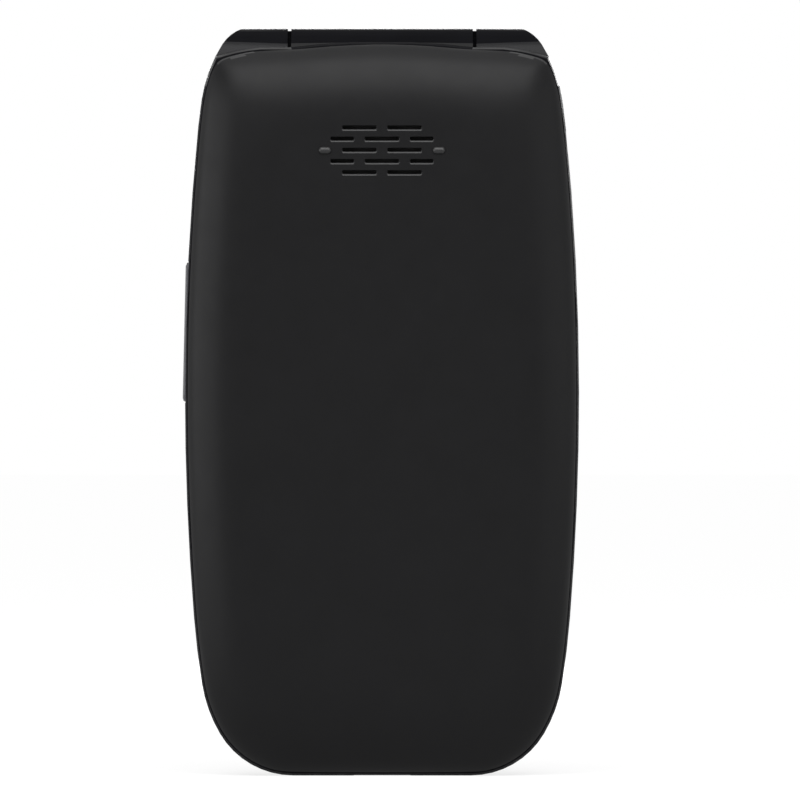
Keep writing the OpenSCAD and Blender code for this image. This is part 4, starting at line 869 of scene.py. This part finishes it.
def printed(bm, text, size, x, level, z, thickness):
    """Adds text to a key, reading from the side with the keys."""
    curve = bpy.data.curves.new("print", "FONT")
    curve.body = text
    curve.size = size
    curve.align_x = "CENTER"
    curve.align_y = "CENTER"
    curve.extrude = thickness / 2
    words = bpy.data.objects.new("print", curve)
    bpy.context.scene.collection.objects.link(words)
    mesh = bpy.data.meshes.new_from_object(words.evaluated_get(bpy.context.evaluated_depsgraph_get()))
    facing = Matrix(((-1, 0, 0, x), (0, 0, 1, level + thickness / 2), (0, 1, 0, z), (0, 0, 0, 1)))
    mesh.transform(facing)
    before = set(bm.faces)
    bm.from_mesh(mesh)
    for face in bm.faces:
        if face not in before:
            face.material_index = 1
    bpy.data.objects.remove(words)
    bpy.data.curves.remove(curve)
    bpy.data.meshes.remove(mesh)


def sign_face(face):
    """Gives a face the ink, and turns it to the side with the keys."""
    face.material_index = 1
    face.normal_update()
    if face.normal.y < 0:
        face.normal_flip()


def cap(bm, node, keys):
    """A number key: a flange, a cap with a round upper edge and a crowned top. Returns its top level."""
    low, high = BOXES[node]
    middle = MIDDLES[node]
    flange = rounded_face(bm, high.x - low.x, high.z - low.z, keys.corner + keys.flange,
                          (middle.x, low.y, middle.z))
    flange = raised(bm, flange, (0, keys.flange_thickness, 0))
    bm.normal_update()
    bmesh.ops.inset_region(bm, faces=[flange], thickness=keys.flange, use_even_offset=True)
    top = raised(bm, flange, (0, high.y - low.y - keys.flange_thickness, 0))
    rounded_edges(bm, top.edges[:], keys.soft_edge, 4)
    top = max(bm.faces, key=lambda f: (round(f.calc_center_median().y / MM, 3), f.calc_area()))
    for share in CROWN_SHARES:
        top = narrowed(bm, top, keys.crown * share, CROWN_FACTORS, middle)
    return high.y + keys.crown


class PHONE_OT_number_keys(Operator):
    """Twelve number keys with their printed digits"""
    bl_idname = "phone.number_keys"
    bl_label = "Number keys"

    def execute(self, context):
        keys = context.scene.phone_keys
        for name in KEYS:
            node = f"key_{name}"
            x, _, z = MIDDLES[node]
            bm = bmesh.new()
            level = cap(bm, node, keys)
            closed(bm)
            digit_x = x + ASIDE if name in LETTERS else x
            digit_z = z - STAR_DROP if name == "star" else z
            printed(bm, SIGNS.get(name, name), keys.digit, digit_x, level, digit_z, keys.print_thickness)
            if name in LETTERS:
                printed(bm, LETTERS[name], keys.letters, x - ASIDE, level, z, keys.print_thickness)
            as_piece(f"number_key_{name}", bm, ["key_plastic", "ink_legend"], node)
        return {"FINISHED"}


def handset_sign(bm, x, level, z, turned, thickness):
    """The sign of a handset: an arc with a pad at each end, arched up or turned over."""
    before = set(bm.verts)
    inner, outer = [bm.verts.new((x - radius, level + thickness, z)) for radius in HANDSET_RADII]
    edge = bm.edges.new((inner, outer))
    bmesh.ops.spin(bm, geom=[inner, outer, edge], cent=(x, level + thickness, z), axis=(0, 1, 0),
                   angle=math.pi, steps=16)
    fresh = [v for v in bm.verts if v not in before]
    scaled(bm, fresh, HANDSET_FACTORS, x, z)
    across, up = HANDSET_PAD_PLACE
    for side in (-1, 1):
        face = rounded_face(bm, *HANDSET_PAD, (x + side * across, level + thickness * PAD_RISE, z + up), 3)
        fresh += face.verts[:]
    fresh = list(set(fresh))
    if turned:
        bmesh.ops.rotate(bm, cent=(x, 0, z), matrix=Matrix.Rotation(math.pi, 3, "Y"), verts=fresh)
    for face in {f for v in fresh for f in v.link_faces}:
        sign_face(face)


def wing(node, colour_name, keys):
    """A wing key with a soft upper edge and its sign."""
    low, high = BOXES[node]
    x = math.copysign(WING_SIGN_X, low.x)
    z = MIDDLES[node].z
    bm = cad_copy(node)
    rounded_edges(bm, sharp_edges(bm, SQUARE, high.y), WING_SOFT, 4)
    if colour_name == "legend":
        sign_face(rounded_face(bm, *BAR, (x, high.y + keys.print_thickness, z), 3))
    else:
        handset_sign(bm, x, high.y, z, colour_name == "end", keys.print_thickness)
    as_piece(f"{node}_cap", bm, ["key_plastic", f"ink_{colour_name}"], node)


def ring(keys):
    """The navigation ring with its four printed arrow heads."""
    bm = cad_copy("nav_ring")
    place = Vector((0, BOXES["nav_ring"][1].y + keys.print_thickness, MIDDLES["nav_ring"].z))
    foot = [(side * ARROW_HALF_WIDTH, ARROW_REACH) for side in (-1, 1)]
    corners = (*foot, (0, ARROW_REACH + ARROW_LENGTH))
    for quarter in range(4):
        turn = Matrix.Rotation(quarter * math.pi / 2, 3, "Y")
        sign_face(bm.faces.new([bm.verts.new(turn @ Vector((x, 0, z)) + place) for x, z in corners]))
    as_piece("nav_ring_metal", bm, ["metallised_plastic", "key_plastic"], "nav_ring")


class PHONE_OT_navigation_keys(Operator):
    """Navigation ring, OK key, soft keys, call key and end key"""
    bl_idname = "phone.navigation_keys"
    bl_label = "Navigation keys"

    def execute(self, context):
        keys = context.scene.phone_keys
        ring(keys)
        bm = cad_copy("ok_key")
        printed(bm, "OK", OK_SIZE, 0, BOXES["ok_key"][1].y, MIDDLES["ok_key"].z, keys.print_thickness)
        as_piece("ok_key_cap", bm, ["key_plastic", "ink_legend"], "ok_key")
        for node, colour_name in WINGS.items():
            wing(node, colour_name, keys)
        return {"FINISHED"}


# ---------------------------------------------------------------- rocker and inner parts

# Depth of the rocker's outer part, and how much deeper it lies at rest than its solid, drawn at full rise
ROCKER_OUTSIDE = 0.8 * MM
ROCKER_SINK = 0.14 * MM
# Height of the battery's end caps, and the radius of its edges
END_CAP = 1.02 * MM
BATTERY_SOFT = 0.25 * MM


class PHONE_OT_volume_rocker(Operator):
    """Volume rocker and the switch board behind it"""
    bl_idname = "phone.volume_rocker"
    bl_label = "Volume rocker"

    def execute(self, context):
        rocker = dressed("volume_rocker", "rocker_plastic", 0.1)
        outside = BOXES["volume_rocker"][0].x + ROCKER_OUTSIDE
        for vertex in rocker.data.vertices:
            if vertex.co.x < outside:
                vertex.co.x += ROCKER_SINK
        dressed("rocker_switch", "polyester_film", 0.08)
        return {"FINISHED"}


class PHONE_OT_battery(Operator):
    """Battery with its film and end caps, and the connector"""
    bl_idname = "phone.battery"
    bl_label = "Battery"

    def execute(self, context):
        bm = cad_copy("battery")
        low, high = BOXES["battery"]
        for face in bm.faces:
            z = face.calc_center_median().z
            face.material_index = 1 if z < low.z + END_CAP or z > high.z - END_CAP else 0
        rounded_edges(bm, sharp_edges(bm, SQUARE), BATTERY_SOFT, 3)
        as_piece("battery_pack", bm, ["shrink_film", "moulded_black"], "battery")
        dressed("battery_connector", "contact_gold", 0.08)
        return {"FINISHED"}


class PHONE_OT_electronics(Operator):
    """Boards, shield cans, keypad mat, dome sheet, antenna and SIM holder"""
    bl_idname = "phone.electronics"
    bl_label = "Boards and mats"

    def execute(self, context):
        dress_all((
            ("main_board", "solder_mask", 0.05), ("lid_board", "solder_mask", 0.05),
            ("shield_cans", "stamped_steel", 0.08), ("keypad_mat", "silicone_rubber", 0.1),
            ("dome_sheet", "polyester_film", 0.03), ("antenna", "antenna_copper", 0.08),
            ("sim_holder", "stamped_steel", 0.06)))
        return {"FINISHED"}


class PHONE_OT_sound(Operator):
    """Loudspeaker, earpiece, their meshes, microphone, vibration motor and the lid's magnet"""
    bl_idname = "phone.sound"
    bl_label = "Sound"

    def execute(self, context):
        dress_all((
            ("loudspeaker", "moulded_black", 0.12), ("speaker_mesh", "speaker_cloth", 0.04),
            ("microphone", "stamped_steel", 0.1), ("vibration_motor", "stamped_steel", 0.08),
            ("earpiece", "moulded_black", 0.12), ("earpiece_mesh", "speaker_cloth", 0.04),
            ("lid_magnet", "stamped_steel", 0.08)))
        return {"FINISHED"}


class PHONE_OT_ports(Operator):
    """Charging port and headset socket"""
    bl_idname = "phone.ports"
    bl_label = "Ports"

    def execute(self, context):
        dress_all((("usb_port", "stamped_steel", 0.06), ("headset_jack", "moulded_black", 0.1)))
        return {"FINISHED"}


class PHONE_OT_hinge(Operator):
    """Hinge cartridge, pin, bush and flex cable"""
    bl_idname = "phone.hinge"
    bl_label = "Hinge"

    def execute(self, context):
        dress_all((
            ("hinge_cartridge", "stamped_steel", 0.1), ("hinge_pin", "stamped_steel", 0.1),
            ("hinge_bush", "stamped_steel", 0.1), ("hinge_flex", "polyimide_film", 0.03)))
        return {"FINISHED"}


# Cross recess of a screw: length and width of each slot, its corner radius, the cutter's start above the
# head and its length
CROSS = (1.7 * MM, 0.32 * MM)
CROSS_CORNER = 0.08 * MM
CROSS_ABOVE = 0.3 * MM
CROSS_REACH = 0.75 * MM
# A head's edges are softened by this, and its faces meet at more than this angle in radians
HEAD_SOFT = 0.18 * MM
HEAD_ANGLE = 0.7
# Screws stand further apart than this many millimetres, and a head has more vertices on top than this
SCREW_GRID = 4
HEAD_VERTS = 8


class PHONE_OT_fasteners(Operator):
    """Screws, screw plugs and bumpers"""
    bl_idname = "phone.fasteners"
    bl_label = "Fasteners"

    def execute(self, context):
        for node in ("housing_screws", "lid_screws"):
            screws(node)
        for node in ("screw_plugs", "lid_bumpers"):
            dressed(node, "black_rubber", 0.12, 3)
        return {"FINISHED"}


def screws(node):
    """Pan-head screws with a cross recess, cut in a copy of the plain ones."""
    heads = bmesh.new()
    heads.from_mesh(frame["nodes"][node].data)
    bmesh.ops.remove_doubles(heads, verts=heads.verts, dist=MERGE)
    low = min(v.co.y for v in heads.verts)
    tops = {}
    for v in heads.verts:
        if v.co.y < low + MERGE:
            spot = (round(v.co.x / MM / SCREW_GRID), round(v.co.z / MM / SCREW_GRID))
            tops.setdefault(spot, []).append(v.co.copy())
    flattened(heads)
    rounded_edges(heads, sharp_edges(heads, HEAD_ANGLE, low), HEAD_SOFT, 3)
    cutters = bmesh.new()
    for top in tops.values():
        if len(top) > HEAD_VERTS:
            middle = sum(top, Vector()) / len(top) + Vector((0, -CROSS_ABOVE, 0))
            for size in (CROSS, CROSS[::-1]):
                face = rounded_face(cutters, *size, CROSS_CORNER, middle, 2)
                raised(cutters, face, (0, CROSS_REACH, 0))
    closed(cutters)
    bm = carved(plain_object("plain_screws", heads), plain_object("cross_cutters", cutters), "DIFFERENCE")
    as_piece(f"{node}_cross", bm, ["stamped_steel"], node)


# ---------------------------------------------------------------- stage

# Half the floor's width, and the distances from the object's foot between which its glow rises
FLOOR_HALF = 6
GLOW_FROM = (0.12, 0.6)
GLOW = (1.1, 1.34)
# Part of the floor's look that is glow where it is seen; the rest is paint, which keeps the shadow
GLOW_SHARE = 0.72
# Each lamp's place, what it is aimed at, and its width and height
LAMPS = {
    "top": ((0, -0.434, 0.505), (0, 0, 0.09), (0.71, 0.38)),
    "left": ((-0.55, -0.24, 0.14), (0, 0, 0.05), (0.6, 0.28)),
    "right": ((0.51, -0.32, 0.16), (0, 0, 0.06), (0.5, 0.3)),
    "over": ((0, -0.11, 0.53), (0, 0, 0.09), (0.7, 0.3)),
    "rear": ((0, 0.15, 0.47), (0, 0, 0.1), (0.12, 0.08)),
    "front": ((0.12, 0.62, 0.18), (0, 0, 0.06), (0.6, 0.14)),
}
SENSOR = 36


def seen_or_mirrored(tree):
    """One for rays that come from the camera, a reflection or a refraction, else nought."""
    rays = add_node(tree, "ShaderNodeLightPath").outputs
    first = add_node(tree, "ShaderNodeMath", {"operation": "MAXIMUM"},
                     {0: rays["Is Camera Ray"], 1: rays["Is Glossy Ray"]}).outputs["Value"]
    return add_node(tree, "ShaderNodeMath", {"operation": "MAXIMUM"},
                    {0: first, 1: rays["Is Transmission Ray"]}).outputs["Value"]


def surroundings(studio):
    """A world that is white where it is seen and plain grey as a light."""
    world = bpy.data.worlds.new("studio")
    tree = emptied(world)
    white = add_node(tree, "ShaderNodeBackground", {"Color": (1, 1, 1, 1), "Strength": 1.0})
    grey = add_node(tree, "ShaderNodeBackground", {"Color": (1, 1, 1, 1), "Strength": studio.ambient})
    mix = add_node(tree, "ShaderNodeMixShader", links={0: seen_or_mirrored(tree), 1: grey.outputs[0],
                                                       2: white.outputs[0]})
    add_node(tree, "ShaderNodeOutputWorld", links={"Surface": mix.outputs[0]})
    bpy.context.scene.world = world


def floor_paint():
    """Pale matt paint that goes to white where it is seen, and takes the object's shadow round its foot."""
    made = bpy.data.materials.new("floor_paint")
    tree = emptied(made)
    paint = add_node(tree, "ShaderNodeBsdfDiffuse", {"Color": (*linear("#f0f0f0"), 1)})
    place = add_node(tree, "ShaderNodeTexCoord").outputs["Object"]
    away = add_node(tree, "ShaderNodeVectorMath", {"operation": "LENGTH"}, {0: place}).outputs["Value"]
    rise = dict(zip(("From Min", "From Max", "To Min", "To Max"), (*GLOW_FROM, *GLOW)))
    strength = add_node(tree, "ShaderNodeMapRange", rise, {"Value": away}).outputs["Result"]
    glow = add_node(tree, "ShaderNodeEmission", {"Color": (1, 1, 1, 1)}, {"Strength": strength})
    share = add_node(tree, "ShaderNodeMath", {"operation": "MULTIPLY", 1: GLOW_SHARE},
                     {0: seen_or_mirrored(tree)})
    mix = add_node(tree, "ShaderNodeMixShader", links={0: share.outputs["Value"], 1: paint.outputs[0],
                                                       2: glow.outputs[0]})
    add_node(tree, "ShaderNodeOutputMaterial", links={"Surface": mix.outputs[0]})
    return made


def lamp(name, spot, aim, size, watts):
    """A rectangular soft box aimed at a point."""
    light = bpy.data.lights.new(name, "AREA")
    light.shape = "RECTANGLE"
    light.size, light.size_y = size
    light.energy = watts
    holder = bpy.data.objects.new(name, light)
    bpy.context.scene.collection.objects.link(holder)
    holder.location = spot
    holder.rotation_euler = (Vector(aim) - Vector(spot)).to_track_quat("-Z", "Y").to_euler()
    holder.visible_camera = False


class PHONE_OT_stage(Operator):
    """Floor, soft light and a camera straight behind the phone"""
    bl_idname = "phone.stage"
    bl_label = "Stage"

    def execute(self, context):
        studio = context.scene.phone_studio
        bm = bmesh.new()
        bmesh.ops.create_grid(bm, x_segments=1, y_segments=1, size=FLOOR_HALF)
        floor = plain_object("floor", bm)
        floor.data.materials.append(floor_paint())
        surroundings(studio)
        for name, (spot, aim, size) in LAMPS.items():
            lamp(f"{name}_light", spot, aim, size, getattr(studio, f"{name}_power"))
        camera = bpy.data.cameras.new("camera")
        camera.sensor_width = SENSOR
        camera.lens = SENSOR * studio.distance / studio.view_height
        holder = bpy.data.objects.new("camera", camera)
        holder.location = (studio.shift_x, -studio.distance, studio.shift_z)
        holder.rotation_euler = (math.pi / 2, 0, 0)
        context.scene.collection.objects.link(holder)
        context.scene.camera = holder
        context.scene.view_settings.view_transform = "Standard"
        return {"FINISHED"}


OPERATORS = (
    PHONE_OT_stage, PHONE_OT_battery_cover, PHONE_OT_housings, PHONE_OT_lid, PHONE_OT_windows,
    PHONE_OT_number_keys, PHONE_OT_navigation_keys, PHONE_OT_volume_rocker, PHONE_OT_battery,
    PHONE_OT_electronics, PHONE_OT_sound, PHONE_OT_ports, PHONE_OT_hinge, PHONE_OT_fasteners,
)
GROUPS = {
    "phone_cover": CoverSizes, "phone_grille": GrilleSizes, "phone_keys": KeySizes,
    "phone_finishes": Finishes, "phone_studio": StudioSettings,
}


class PHONE_PT_panel(Panel):
    """Sizes, colours and build steps of the flip phone"""
    bl_idname = "PHONE_PT_panel"
    bl_label = "Flip Phone"
    bl_space_type = "VIEW_3D"
    bl_region_type = "UI"
    bl_category = "Flip Phone"

    def draw(self, context):
        for name, group in GROUPS.items():
            box = self.layout.box()
            box.label(text=group.__name__)
            for key in group.__annotations__:
                box.prop(getattr(context.scene, name), key)
        for operator in OPERATORS:
            self.layout.operator(operator.bl_idname)


def register():
    for item in (*GROUPS.values(), *OPERATORS, PHONE_PT_panel):
        bpy.utils.register_class(item)
    for name, group in GROUPS.items():
        setattr(bpy.types.Scene, name, PointerProperty(type=group))


def unregister():
    for name in GROUPS:
        delattr(bpy.types.Scene, name)
    for item in reversed((*GROUPS.values(), *OPERATORS, PHONE_PT_panel)):
        bpy.utils.unregister_class(item)


def main():
    register()
    for operator in OPERATORS:
        group, name = operator.bl_idname.split(".")
        getattr(getattr(bpy.ops, group), name)()


if __name__ == "__main__":
    main()
